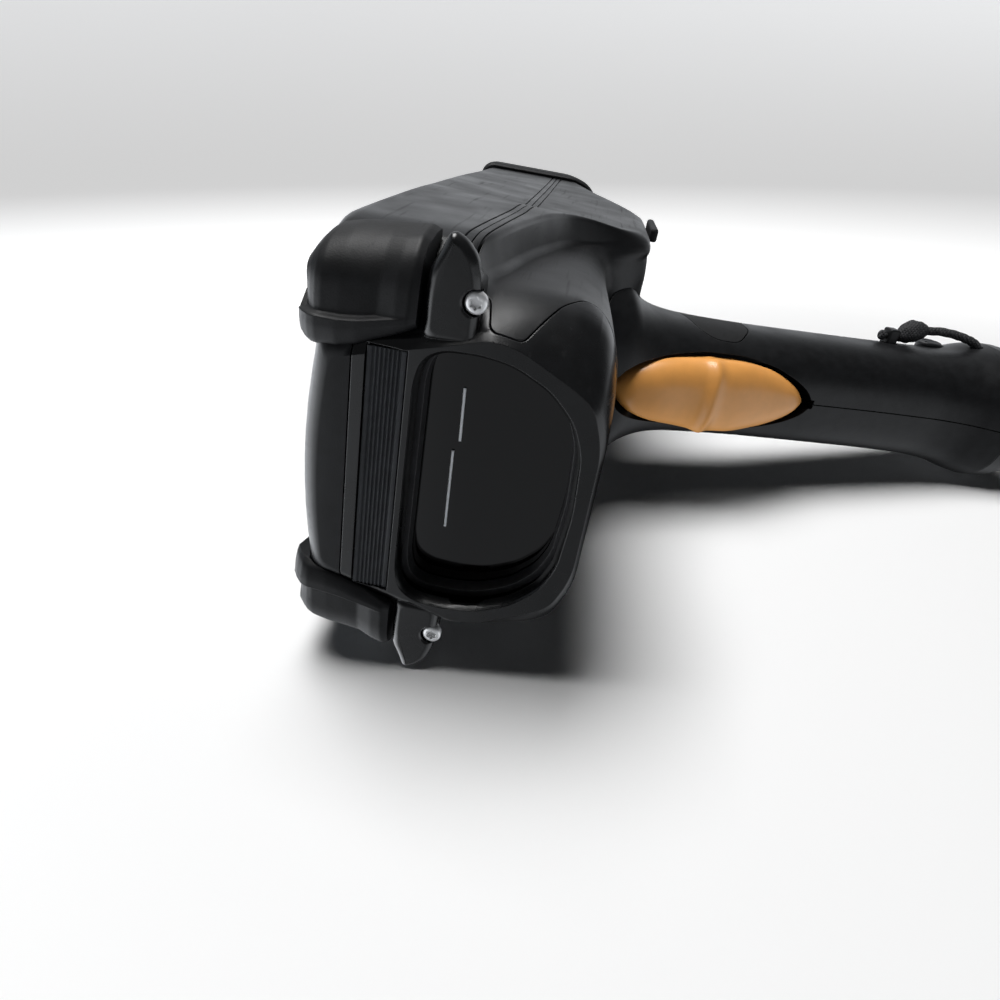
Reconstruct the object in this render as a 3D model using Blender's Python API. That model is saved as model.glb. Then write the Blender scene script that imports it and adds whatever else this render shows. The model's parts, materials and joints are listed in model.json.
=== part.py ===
"""A rugged handheld computer with a scan window, a pistol grip and a trigger.

It is modelled upright in its own design frame and then laid on its right side:
+X is the device's left, +Y its rear and +Z the side that the display faces.
Z = 0 is the top face, Y = 0 the front of the nose and X = 0 the middle plane.
Grip pieces are modelled in the grip's frame, whose -Z runs down the grip.
"""

import math

import bmesh
import bpy
from mathutils import Vector

MM = 0.001
GAP = 0.3 * MM
WALL = 2.4 * MM
SMOOTH_ANGLE = math.radians(38)

# How the device lies: the display faces -X, the grip points to +X and droops.
DROOP = math.radians(8.75)
LYING_TURN = DROOP - math.radians(90)

# Body: rows of (y, top width, top z, edge radius, side foot x and z, ledge x and z,
# flank x and z, corner x and z, floor half width, floor z), half widths in mm.
BODY_STATIONS = (
    (0.0, 22.0, -5.0, 2.0, 27.5, -26.0, 30.2, -34.5, 29.6, -39.5, 24.5, -50.0, 14.0, -57.2),
    (1.4, 25.0, -2.8, 3.0, 29.5, -26.4, 31.5, -34.0, 30.8, -39.5, 26.0, -50.2, 16.0, -58.0),
    (4.0, 29.5, -1.0, 4.0, 32.0, -26.8, 33.0, -33.2, 32.6, -40.0, 29.0, -50.4, 18.0, -58.2),
    (8.0, 36.2, -0.2, 4.5, 36.2, -27.4, 34.6, -32.0, 34.8, -40.0, 32.4, -50.5, 21.0, -58.3),
    (12.0, 40.4, 0.0, 5.0, 40.4, -27.8, 35.8, -31.0, 36.1, -40.0, 34.8, -50.5, 23.0, -58.3),
    (17.0, 42.9, 0.0, 5.0, 42.9, -28.4, 36.5, -30.5, 36.9, -40.0, 36.0, -50.5, 24.0, -58.2),
    (25.0, 43.8, 0.0, 5.0, 43.8, -30.4, 36.6, -32.0, 37.0, -41.0, 36.0, -50.5, 24.0, -57.9),
    (46.0, 44.1, 0.0, 5.0, 44.1, -33.8, 36.5, -35.0, 36.8, -43.0, 35.6, -50.2, 24.0, -57.0),
    (66.0, 44.2, 0.0, 5.0, 44.2, -38.0, 36.4, -40.0, 36.5, -45.5, 35.2, -49.8, 24.0, -56.2),
    (78.0, 44.2, 0.0, 5.0, 43.6, -42.5, 36.4, -44.5, 36.4, -47.5, 35.4, -50.4, 24.0, -55.8),
    (85.0, 44.15, 0.0, 5.0, 42.6, -48.5, 37.0, -51.0, 36.4, -52.0, 35.0, -54.5, 24.0, -57.6),
    (90.0, 44.1, 0.0, 5.0, 41.0, -56.5, 38.2, -59.0, 37.0, -60.4, 35.0, -61.4, 26.0, -62.0),
    (96.0, 44.05, 0.0, 5.0, 40.2, -61.0, 38.8, -63.8, 37.4, -65.0, 35.4, -65.6, 30.0, -65.7),
    (104.0, 44.0, 0.0, 5.0, 40.0, -62.0, 38.8, -64.6, 37.4, -65.6, 35.4, -66.0, 30.0, -66.0),
    (146.0, 43.4, 0.0, 5.0, 40.0, -61.6, 38.8, -64.4, 37.4, -65.6, 35.4, -66.0, 30.0, -66.0),
    (160.0, 43.0, 0.0, 5.0, 40.6, -57.0, 38.6, -60.6, 36.6, -62.2, 33.6, -63.0, 28.0, -63.0),
    (185.0, 42.4, 0.0, 5.0, 41.4, -46.0, 39.4, -51.0, 36.8, -53.6, 33.0, -54.8, 26.0, -55.0),
    (210.0, 42.0, 0.0, 5.0, 41.8, -38.0, 40.0, -43.6, 37.0, -46.6, 33.0, -47.8, 26.0, -48.0),
    (224.0, 41.6, 0.0, 5.0, 41.4, -35.4, 39.6, -40.6, 36.6, -43.4, 32.6, -44.6, 26.0, -44.8),
    (227.6, 39.0, -1.6, 5.0, 38.8, -34.0, 36.8, -38.6, 34.0, -41.2, 30.4, -42.2, 24.0, -42.4),
)
# The front of the top face falls away from its middle: by how much at CROWN_X, and the
# places between which that fades out, in mm.
CROWN_DROP, CROWN_X, CROWN_Y = 1.7, 22.0, (8.0, 24.0)
# The seam between the housings, seen from the side, as (y, z) in mm.
SEAM = ((-20.0, -26.5), (17.0, -26.5), (62.0, -30.5), (260.0, -30.5))
# The bezel's share of the nose, seen from the side: a frame above, an arch round the cheek.
BEZEL_SIDE = (
    (-20.0, -10.6), (11.0, -10.6), (11.0, -27.0), (9.0, -32.4), (1.2, -33.8), (1.2, -40.0),
    (6.0, -42.5), (12.0, -45.5), (16.5, -49.0), (17.5, -52.0), (15.0, -55.5), (10.0, -58.0),
    (8.0, -70.0), (-20.0, -70.0),
)
EAR_FRONT = (
    (28.0, -22.3), (36.3, -22.3), (40.1, -22.6), (43.3, -24.2), (45.9, -25.2), (46.3, -26.2),
    (45.4, -28.2), (43.0, -30.4), (39.2, -31.6), (28.0, -32.0),
)
# What is cut away behind an ear's tip, seen from above, as (x, y) in mm.
EAR_RELIEF = ((39.0, 12.0), (39.0, 8.0), (41.0, 3.0), (52.0, 3.0), (52.0, 12.0))
WINDOW_FRONT = (
    (0.0, -22.6), (20.0, -22.6), (24.2, -23.6), (26.2, -26.6), (26.6, -33.0), (25.8, -39.0),
    (22.6, -45.8), (17.8, -50.6), (12.0, -53.0), (0.0, -53.8),
)
# A front bumper seen from above: rows of (x, y, share of the side's draw-in, share of the
# corner's flare, share of the front recess), x and y in mm. The last three lie in the body.
BUMPER_PLAN = (
    (23.4, 1.6, 0.0, 0.0, 0.0), (24.6, 0.2, 0.0, 0.0, 0.0), (27.4, -0.7, 0.0, 0.0, 0.0),
    (28.9, -0.7, 0.05, 0.0, 0.0), (30.8, -0.6, 0.1, 0.05, 1.0), (35.0, -0.3, 0.3, 0.3, 1.0),
    (38.2, 0.7, 0.55, 0.6, 1.0), (40.4, 2.4, 0.75, 0.9, 0.9), (42.2, 5.0, 0.9, 0.9, 0.75),
    (43.4, 8.4, 1.0, 0.6, 0.6), (44.0, 11.8, 1.0, 0.5, 0.5), (44.2, 14.4, 1.0, 0.45, 0.4),
    (43.9, 15.4, 1.0, 0.45, 0.3), (43.0, 15.7, 1.0, 0.4, 0.2),
    (36.0, 15.7, 0.0, 0.0, 0.0), (31.0, 13.0, 0.0, 0.0, 0.0), (25.0, 8.0, 0.0, 0.0, 0.0),
)
# Its levels: (z, side draw-in, front draw-in, shift of the inner end, recess, flare), in mm.
BUMPER_LEVELS = (
    (0.7, 5.6, 5.0, 0.0, 1.5, 0.0), (-0.5, 3.9, 3.0, 0.0, 1.5, 0.0),
    (-2.0, 2.4, 1.2, 0.0, 1.5, 0.0), (-3.4, 1.6, 0.5, 0.0, 1.5, 0.0),
    (-7.4, 0.6, 0.1, 0.0, 1.5, 0.0), (-11.0, 0.2, 0.0, 1.0, 1.5, 0.0),
    (-14.4, 0.0, 0.0, 2.8, 1.5, 0.4), (-17.6, 0.0, 0.0, 4.2, 0.3, 1.1),
    (-20.0, 0.0, 0.0, 5.4, 0.0, 1.7), (-21.4, 0.4, 0.8, 6.0, 0.0, 1.3),
)
# The outer part's top lies lower than the inner part's by this much, fading out by the depth.
BUMPER_DROP, BUMPER_DROP_DEPTH = 1.2, -7.4
BUMPER_END_X = 33.0

# Grip: rows of (z, half width, front y, rear y) in the grip's frame, in mm.
GRIP_TILT = math.radians(14)
GRIP_ORIGIN = Vector((0, 100, -66)) * MM
GRIP_STATIONS = (
    (16.0, 31.0, -21.0, 36.0),
    (6.0, 29.0, -21.0, 34.0),
    (1.0, 23.4, -20.0, 30.0),
    (-3.0, 20.6, -19.0, 27.0),
    (-8.0, 18.8, -17.6, 24.8),
    (-15.0, 17.8, -16.4, 22.8),
    (-26.0, 17.3, -15.6, 21.0),
    (-45.0, 17.0, -14.8, 19.8),
    (-75.0, 17.0, -14.6, 19.4),
    (-98.0, 17.2, -15.4, 19.6),
    (-110.0, 18.2, -17.6, 20.4),
    (-117.0, 20.0, -20.6, 21.8),
    (-121.6, 20.9, -22.6, 22.8),
)
CAP_STATIONS = (
    (-121.9, 20.9, -22.6, 22.8),
    (-127.0, 20.8, -22.8, 23.0),
    (-130.0, 20.0, -22.0, 22.2),
    (-131.4, 18.4, -20.4, 20.6),
)
GRIP_SQUARENESS = 2.5
COLLAR_STATIONS = GRIP_STATIONS[4:9]

# Trigger: rows of (z, half width, front y, shoulder y, back y) in the grip's frame, in mm.
TRIGGER_STATIONS = (
    (6.6, 1.8, -17.6, -15.8, -14.4), (4.8, 4.6, -19.6, -16.2, -14.0),
    (1.0, 7.3, -21.8, -16.6, -12.6), (-6.0, 9.4, -22.7, -16.2, -9.4),
    (-14.0, 10.4, -22.3, -15.6, -9.0), (-18.0, 10.8, -22.5, -16.0, -9.0),
    (-20.2, 11.2, -23.9, -17.2, -9.0), (-21.0, 11.4, -24.4, -17.6, -9.0),
    (-21.8, 11.3, -24.0, -17.2, -9.0), (-24.4, 11.0, -22.7, -16.0, -9.0),
    (-30.0, 10.9, -21.9, -15.4, -9.0),
    (-40.0, 9.2, -19.6, -13.4, -9.0),
    (-47.0, 6.6, -17.8, -12.6, -9.0),
    (-51.6, 4.0, -15.8, -11.8, -9.2),
    (-53.8, 1.6, -13.8, -11.4, -9.6),
)
TRIGGER_PIVOT = Vector((0, -5.0, -4.5)) * MM
PIN_RADIUS = 1.5 * MM
# The trigger's opening: rows of (z, half width) in mm, with room for its swing.
SLOT_STATIONS = (
    (12.0, 3.4), (8.2, 3.4), (6.0, 5.8), (1.8, 8.2), (-6.0, 10.2), (-14.0, 11.2), (-21.0, 11.8),
    (-30.0, 11.7), (-41.0, 10.0), (-48.4, 7.4), (-52.8, 5.0), (-55.4, 2.8), (-55.8, 1.4),
)
SLOT_Y = (-40.0, 1.2)

# The rubber collar's outline on the grip, seen from the side, as (y, z) in mm.
COLLAR_SIDE = (
    (60.0, -15.0), (6.0, -16.2), (-5.5, -17.8), (-9.2, -22.2), (-9.4, -31.0), (-2.0, -36.4),
    (60.0, -40.0),
)
COLLAR_DEPTH = 1.8 * MM

# Lanyard, in the grip's frame: the knot's rings as (x, y, z, radius) and the cord's path, in mm.
KNOT_RINGS = (
    (19.0, 6.8, -85.4, 1.0), (19.0, 6.8, -85.8, 1.6), (19.0, 6.8, -87.0, 1.6),
    (19.0, 6.8, -87.2, 0.8), (19.0, 6.8, -91.6, 0.8), (19.4, 6.8, -91.9, 1.7),
    (20.4, 6.8, -93.0, 3.0), (21.2, 6.8, -95.6, 3.9), (21.6, 6.6, -98.2, 3.4),
    (21.9, 6.3, -100.2, 2.2), (22.0, 6.2, -100.8, 1.2),
)
CORD_PATH = (
    (22.2, 6.0, -101.2), (22.8, 4.8, -105.0), (22.4, 3.4, -111.0), (20.8, 1.8, -116.4),
    (17.0, 0.9, -119.2),
)
CORD_RADIUS = 1.4 * MM
LUG_BOX = ((14.6, 4.6, -91.2), (21.4, 9.0, -87.6))

# Battery and its bay, in the grip's frame.
BATTERY_HALF = (11.0 * MM, 12.0 * MM)
BATTERY_TOP = -66.0 * MM
BATTERY_CENTRE_Y = 2.4 * MM
BAY_CLEARANCE = 0.6 * MM

# Keys, in the design frame.
KEY_COLUMNS = (22.8, 7.6, -7.6, -22.8)
KEY_ROWS = (157.0, 172.4, 187.8, 203.2)
KEY_SIZE = (11.4 * MM, 9.6 * MM)
KEY_NAMES = (
    ("seven", "eight", "nine", "back"),
    ("four", "five", "six", "up"),
    ("one", "two", "three", "down"),
    ("star", "zero", "hash", "enter"),
)
KEY_RISE = 1.4 * MM
KEY_FLANGE = (-3.1 * MM, -4.1 * MM)
NAV_CENTRE = (0.0, 136.0 * MM)
NAV_RADIUS = 11.5 * MM
SCAN_RADIUS = 5.6 * MM
FACE_PLATE = (-0.5 * MM, -2.6 * MM)
SIDE_KEY_X = 22.8 * MM
KEYPAD_Y = (122.0 * MM, 214.0 * MM)
KEYPAD_HALF_WIDTH = 32.0 * MM

DISPLAY_Y = (28.0 * MM, 116.0 * MM)
DISPLAY_HALF_WIDTH = 34.0 * MM
SCREW_X, SCREW_Z = 35.7 * MM, -31.0 * MM

BLACK = (0.018, 0.019, 0.022)
SOFT_BLACK = (0.012, 0.012, 0.013)
STEEL = (0.62, 0.62, 0.64)


# ---------------------------------------------------------------- helpers


def clear_scene():
    for item in list(bpy.data.objects):
        bpy.data.objects.remove(item, do_unlink=True)


def material(name, colour, roughness, metallic=0.0):
    made = bpy.data.materials.new(name)
    made.use_nodes = True
    shader = made.node_tree.nodes["Principled BSDF"]
    shader.inputs["Base Color"].default_value = (*colour, 1.0)
    shader.inputs["Roughness"].default_value = roughness
    shader.inputs["Metallic"].default_value = metallic
    return made


def empty(name, parent=None, location=(0, 0, 0)):
    made = bpy.data.objects.new(name, None)
    bpy.context.scene.collection.objects.link(made)
    made.location = location
    made.parent = parent
    return made


def piece(name, bm, parent, colour=BLACK, roughness=0.4, metallic=0.0, origin=(0, 0, 0)):
    """A finished, named object. Its points are given in the parent's frame, around origin."""
    bmesh.ops.translate(bm, verts=bm.verts, vec=-Vector(origin))
    bmesh.ops.recalc_face_normals(bm, faces=bm.faces)
    mesh = bpy.data.meshes.new(name)
    bm.to_mesh(mesh)
    bm.free()
    mesh.shade_smooth()
    mesh.set_sharp_from_angle(angle=SMOOTH_ANGLE)
    made = bpy.data.objects.new(name, mesh)
    bpy.context.scene.collection.objects.link(made)
    made.parent = parent
    made.location = origin
    made.data.materials.append(material(name, colour, roughness, metallic))
    return made


def tool(name, bm, parent):
    """A cutter or other helper shape that the build leaves out."""
    made = piece(name, bm, parent)
    made.hide_render = True
    made.display_type = "WIRE"
    return made


def combine(target, other, operation):
    step = target.modifiers.new(operation.lower() + "_" + other.name, "BOOLEAN")
    step.operation = operation
    step.object = other
    step.solver = "EXACT"


def cut(target, *cutters):
    for cutter in cutters:
        combine(target, cutter, "DIFFERENCE")


def loft(rings):
    """A closed skin through rings that hold the same number of points."""
    bm = bmesh.new()
    rows = [[bm.verts.new(point) for point in ring] for ring in rings]
    count = len(rings[0])
    for low, high in zip(rows, rows[1:]):
        for i in range(count):
            j = (i + 1) % count
            bm.faces.new((low[i], low[j], high[j]))
            bm.faces.new((low[i], high[j], high[i]))
    bm.faces.new(rows[0][::-1])
    bm.faces.new(rows[-1])
    return bm


def box(low, high, bevel=0.0):
    """A box between two corners, its edges rounded by bevel."""
    bm = bmesh.new()
    bmesh.ops.create_cube(bm, size=1.0)
    low, high = Vector(low), Vector(high)
    middle, size = (low + high) / 2, high - low
    for vert in bm.verts:
        vert.co = Vector(vert.co[i] * size[i] + middle[i] for i in range(3))
    if bevel:
        bmesh.ops.bevel(bm, geom=bm.edges[:], offset=bevel, segments=2, affect="EDGES", profile=0.5)
    return bm


def ring_points(centre, radius, axis, segments):
    """Points round a circle whose normal is the world axis given by its number."""
    points = []
    for i in range(segments):
        angle = 2 * math.pi * i / segments
        flat = [radius * math.cos(angle), radius * math.sin(angle)]
        flat.insert(axis, 0.0)
        points.append(Vector(centre) + Vector(flat))
    return points


def turned(axis, profile, centre=(0, 0, 0), segments=20):
    """A round solid: profile holds (distance along the axis, radius) from end to end."""
    rings = []
    for along, radius in profile:
        middle = Vector(centre)
        middle[axis] += along
        rings.append(ring_points(middle, radius, axis, segments))
    return loft(rings)


def prism(axis, outline, low, high):
    """An outline in the other two axes, drawn out along one axis. The outline is in mm."""
    rings = []
    for along in (low, high):
        ring = []
        for a, b in outline:
            point = [a * MM, b * MM]
            point.insert(axis, along)
            ring.append(Vector(point))
        rings.append(ring)
    return loft(rings)


def rounded_rectangle(half_x, half_y, radius, corner_points=3):
    points = []
    for quarter in range(4):
        turn = math.pi / 2 * quarter
        sign_x = 1 if quarter in (0, 3) else -1
        sign_y = 1 if quarter in (0, 1) else -1
        for i in range(corner_points):
            angle = turn + math.pi / 2 * i / (corner_points - 1)
            points.append((
                sign_x * (half_x - radius) + radius * math.cos(angle),
                sign_y * (half_y - radius) + radius * math.sin(angle),
            ))
    return points


def slab(centre, half_x, half_y, radius, levels):
    """A rounded rectangle lofted up through levels of (z, how much smaller)."""
    rings = []
    for z, inset in levels:
        corner = max(radius - inset, 0.2 * MM)
        outline = rounded_rectangle(half_x - inset, half_y - inset, corner)
        rings.append([Vector((centre[0] + x, centre[1] + y, z)) for x, y in outline])
    return loft(rings)


def mirrored(half):
    """Points of the +X half, first and last on the middle plane, made into a closed ring."""
    other = [(-x, z) for x, z in reversed(half[1:-1])]
    return list(half) + other


def offset_ring(points, grow):
    """Each point of a clockwise or anticlockwise ring pushed out by grow."""
    area = sum(a[0] * b[1] - b[0] * a[1] for a, b in zip(points, points[1:] + points[:1]))
    side = 1 if area > 0 else -1
    moved = []
    for i, here in enumerate(points):
        before, after = points[i - 1], points[(i + 1) % len(points)]
        first = Vector((here[0] - before[0], here[1] - before[1])).normalized()
        second = Vector((after[0] - here[0], after[1] - here[1])).normalized()
        normal_1 = Vector((first.y, -first.x)) * side
        normal_2 = Vector((second.y, -second.x)) * side
        middle = (normal_1 + normal_2).normalized()
        reach = grow / max(middle.dot(normal_1), 0.5)
        moved.append((here[0] + middle.x * reach, here[1] + middle.y * reach))
    return moved


def crown_drop(x, y):
    """How far the top face has fallen away from its middle, in mm."""
    fade = min(max((CROWN_Y[1] - y) / (CROWN_Y[1] - CROWN_Y[0]), 0.0), 1.0)
    return CROWN_DROP * fade * min((x / CROWN_X) ** 2, 1.2)


def body_ring(station, grow=0.0, y=None):
    """One cross-section of the body as points in the design frame."""
    at_y, top_x, top_z, radius, foot_x, foot_z, ledge_x, ledge_z, *lower = station
    flank_x, flank_z, corner_x, corner_z, floor_x, floor_z = lower
    half = []
    for share in (0.0, 0.35, 0.7, 1.0):
        x = (top_x - radius) * share
        half.append((x, top_z - crown_drop(x, at_y)))
    side_z = top_z - crown_drop(top_x, at_y)
    for angle in (60, 30, 0):
        turn = math.radians(angle)
        half.append((
            top_x - radius + radius * math.cos(turn),
            side_z - radius + radius * math.sin(turn),
        ))
    half += [
        (foot_x, foot_z), (ledge_x, ledge_z), (flank_x, flank_z), (corner_x, corner_z),
        ((corner_x * 2 + floor_x) / 3 + 0.8, (corner_z + floor_z * 2) / 3 + 0.6),
        (floor_x, floor_z), (0.0, floor_z),
    ]
    ring = offset_ring(mirrored(half), grow / MM)
    return [Vector((x, at_y if y is None else y, z)) * MM for x, z in ring]


def body_skin(grow=0.0, first_y=None, last_y=None):
    """The whole body, or the stretch of it between two places, grown or shrunk."""
    rings = []
    for station in BODY_STATIONS:
        if (first_y is None or station[0] > first_y) and (last_y is None or station[0] < last_y):
            rings.append(body_ring(station, grow))
    if first_y is not None:
        after = next(row for row in BODY_STATIONS if row[0] > first_y)
        rings.insert(0, body_ring(after, grow, first_y))
    if last_y is not None:
        before = next(row for row in reversed(BODY_STATIONS) if row[0] < last_y)
        rings.append(body_ring(before, grow, last_y))
    return loft(rings)


def grip_ring(z, half_x, front, rear, segments=24, grow=0.0):
    """One squarish oval cross-section of the grip, in the grip's frame."""
    middle, half_y = (front + rear) / 2, (rear - front) / 2
    power = 2 / GRIP_SQUARENESS
    ring = []
    for i in range(segments):
        angle = 2 * math.pi * (i + 0.5) / segments
        c, s = math.cos(angle), math.sin(angle)
        x = math.copysign(abs(c) ** power, c) * (half_x + grow)
        y = middle + math.copysign(abs(s) ** power, s) * (half_y + grow)
        ring.append(Vector((x, y, z)) * MM)
    return ring


def tube_along(points, radius, sides=8):
    """A round wire through points, with flat ends."""
    rings = []
    for i, here in enumerate(points):
        before, after = points[max(i - 1, 0)], points[min(i + 1, len(points) - 1)]
        along = (after - before).normalized()
        side = along.cross(Vector((0.31, 0.17, 0.93))).normalized()
        up = side.cross(along)
        turns = [2 * math.pi * k / sides for k in range(sides)]
        rings.append([here + (side * math.cos(t) + up * math.sin(t)) * radius for t in turns])
    return loft(rings)


def smooth_path(points, steps):
    """A Catmull-Rom curve through points, with steps spans between each two."""
    points = [Vector(p) for p in points]
    ends = [points[0] * 2 - points[1], *points, points[-1] * 2 - points[-2]]
    path = []
    for a, b, c, d in zip(ends, ends[1:], ends[2:], ends[3:]):
        for i in range(steps):
            t = i / steps
            path.append(
                0.5 * (2 * b + (c - a) * t + (2 * a - 5 * b + 4 * c - d) * t * t
                       + (3 * b - 3 * c + d - a) * t ** 3)
            )
    return path + [points[-1]]


# ---------------------------------------------------------------- housings


def side_region(name, outline, parent):
    """A shape drawn from the side and wide enough to reach past both flanks."""
    return tool(name, prism(0, outline, -70 * MM, 70 * MM), parent)


def seam_region(name, above, parent):
    """Everything above or below the seam, less half of the seam's gap."""
    lift = GAP / MM / 2 * (1 if above else -1)
    line = [(y, z + lift) for y, z in SEAM]
    far = 40.0 if above else -110.0
    outline = line + [(SEAM[-1][0], far), (SEAM[0][0], far)]
    return side_region(name, outline, parent)


def make_top_housing(device):
    top = piece("top_housing", body_skin(), device, BLACK, 0.32)
    combine(top, seam_region("above_seam", True, device), "INTERSECT")
    cavity = tool("top_cavity", body_skin(-WALL, 16.0, 221.0), device)
    notch = tool("bezel_notch", box(
        Vector((-70, -20, -60)) * MM, Vector((70, 11.3, -10.3)) * MM), device)
    y_low, y_high = DISPLAY_Y
    middle_y, half_y = (y_low + y_high) / 2, (y_high - y_low) / 2
    pocket = tool("display_pocket", slab(
        (0, middle_y), DISPLAY_HALF_WIDTH + GAP, half_y + GAP, 4 * MM,
        ((-1.9 * MM, 0.0), (5 * MM, 0.0))), device)
    hole = tool("display_hole", slab(
        (0, middle_y), DISPLAY_HALF_WIDTH - 3 * MM, half_y - 4 * MM, 2 * MM,
        ((-6 * MM, 0.0), (5 * MM, 0.0))), device)
    key_y = (KEYPAD_Y[0] + KEYPAD_Y[1]) / 2
    key_hole = tool("keypad_hole", slab(
        (0, key_y), KEYPAD_HALF_WIDTH, (KEYPAD_Y[1] - KEYPAD_Y[0]) / 2, 6 * MM,
        ((-6 * MM, 0.0), (5 * MM, 0.0))), device)
    light_hole = tool("light_hole", turned(
        2, ((-6 * MM, 1.8 * MM), (5 * MM, 1.8 * MM)), (26 * MM, 21 * MM, 0), 12), device)
    cut(top, cavity, notch, pocket, hole, key_hole, light_hole)
    return top


def make_bottom_housing(device, bezel_region):
    bottom = piece("bottom_housing", body_skin(), device, BLACK, 0.36)
    combine(bottom, seam_region("below_seam", False, device), "INTERSECT")
    cavity = tool("bottom_cavity", body_skin(-WALL, 4.0, 221.0), device)
    cable_hole = tool("cable_hole", box(
        Vector((-9, 106, -72)) * MM, Vector((9, 112, -58)) * MM), device)
    scan_way = tool("scan_way", window_loft(((-4.0, 1.7), (16.0, 1.7))), device)
    cut(bottom, bezel_region, cavity, cable_hole, scan_way)
    return bottom


def make_bezel(device):
    """The front frame: window surround, ears and the arches that wrap the cheeks."""
    bezel = piece("front_bezel", body_skin(), device, SOFT_BLACK, 0.22)
    combine(bezel, side_region("bezel_share", BEZEL_SIDE, device), "INTERSECT")
    for side in (1, -1):
        rings = []
        for y, inset in ((0.4, 1.4), (1.6, 0.3), (3.2, 0.0), (8.6, 0.0)):
            ring = offset_ring([(side * x, z) for x, z in EAR_FRONT], -inset)
            rings.append([Vector((x, y, z)) * MM for x, z in ring])
        name = "ear_left" if side > 0 else "ear_right"
        combine(bezel, tool(name, loft(rings), device), "UNION")
        hole = turned(1, ((-6 * MM, 2.3 * MM), (4.6 * MM, 2.3 * MM)),
                      (side * SCREW_X, 0, SCREW_Z), 12)
        relief = prism(2, [(side * x, y) for x, y in EAR_RELIEF], -36 * MM, -18 * MM)
        cut(bezel, tool("screw_hole_" + name, hole, device),
            tool("relief_" + name, relief, device))
    window = tool("window_opening", window_loft(((-4.0, 0.2), (3.0, 0.0), (26.0, -0.8))), device)
    hollow = tool("bezel_cavity", body_skin(-WALL, 2.6, 40.0), device)
    strip = tool("strip_pocket", box(
        Vector((-25.7, -5, -20.6)) * MM, Vector((25.7, 1.3, -12.9)) * MM), device)
    cut(bezel, window, hollow, strip)
    grown = [(y, z) for y, z in offset_ring(list(BEZEL_SIDE), GAP / MM)]
    region = side_region("bezel_region", grown, device)
    return region


def window_loft(levels):
    """The window's outline lofted through (y, grow) levels in mm."""
    outline = mirrored(list(WINDOW_FRONT))
    rings = []
    for y, grow in levels:
        rings.append([Vector((x, y, z)) * MM for x, z in offset_ring(outline, grow)])
    return loft(rings)


def make_window(device):
    hood = piece("window_hood", window_loft(((5.4, 1.0), (8.4, 1.2))), device, SOFT_BLACK, 0.5)
    cut(hood, tool("hood_bore", window_loft(((-1.0, 0.2), (12.0, -1.2))), device))
    piece("scan_window", window_loft(((8.8, 0.9), (9.2, 1.3), (10.6, 1.3))), device,
          (0.02, 0.004, 0.006), 0.04)
    piece("front_strip", box(
        Vector((-25.4, 0.4, -20.3)) * MM, Vector((25.4, 1.0, -13.2)) * MM), device, BLACK, 0.6)
    engine = piece("scan_engine", box(
        Vector((-12, 14, -49)) * MM, Vector((12, 36, -35)) * MM, 1 * MM), device,
        (0.05, 0.05, 0.055), 0.5)
    cut(engine, tool("lens_seat", turned(
        1, ((10 * MM, 4.4 * MM), (20 * MM, 4.4 * MM)), (5 * MM, 0, -42 * MM)), device))
    piece("scan_lens", turned(
        1, ((13.2 * MM, 3.2 * MM), (14.0 * MM, 4.0 * MM), (19.4 * MM, 4.0 * MM)),
        (5 * MM, 0, -42 * MM)), device, (0.03, 0.03, 0.05), 0.05)


def bumper_drop(z, sunk):
    """How much lower a bumper's outer part lies at this level."""
    fade = (z - BUMPER_DROP_DEPTH) / (BUMPER_LEVELS[0][0] - BUMPER_DROP_DEPTH)
    fade = min(max(fade, 0.0), 1.0)
    return BUMPER_DROP * fade * sunk


def make_bumpers(device):
    seat = tool("bumper_seat", body_skin(GAP), device)
    first_x = BUMPER_PLAN[0][0]
    for side, name in ((1, "bumper_left"), (-1, "bumper_right")):
        rings = []
        for z, side_in, front_in, shift, recess, flare in BUMPER_LEVELS:
            ring = []
            for x, y, side_share, corner, sunk in BUMPER_PLAN:
                inner = max(0.0, BUMPER_END_X - x) / (BUMPER_END_X - first_x)
                move_x = shift * inner - side_in * side_share + flare * corner
                move_y = front_in * (1 - side_share) + recess * sunk
                drop = bumper_drop(z, sunk)
                ring.append(Vector((side * (x + move_x), y + move_y, z - drop)) * MM)
            rings.append(ring)
        bumper = piece(name, loft(rings), device, (0.013, 0.013, 0.014), 0.55)
        cut(bumper, seat)


def make_screws(device):
    for side, name in ((1, "left"), (-1, "right")):
        screw = piece("bezel_screw_" + name, turned(
            1, ((0.9 * MM, 1.3 * MM), (1.2 * MM, 2.0 * MM), (2.4 * MM, 2.0 * MM),
                (2.4 * MM, 1.1 * MM), (4.2 * MM, 1.1 * MM)),
            (side * SCREW_X, 0, SCREW_Z), 16), device, STEEL, 0.25, 1.0)
        cut(screw, tool("socket_" + name, turned(
            1, ((-2 * MM, 0.9 * MM), (1.9 * MM, 0.9 * MM)), (side * SCREW_X, 0, SCREW_Z), 6), device))


def make_feet(device):
    """Rubber strips along the belly platform's lower rear corners."""
    for side, name in ((1, "left"), (-1, "right")):
        low = Vector((35.4, 118, -68.6))
        high = Vector((39.4, 144, -66.3))
        ends = [Vector((side * low.x, low.y, low.z)), Vector((side * high.x, high.y, high.z))]
        corners = [Vector(map(min, *ends)) * MM, Vector(map(max, *ends)) * MM]
        piece("belly_foot_" + name, box(*corners, 0.8 * MM), device, (0.01, 0.01, 0.01), 0.7)


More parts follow.
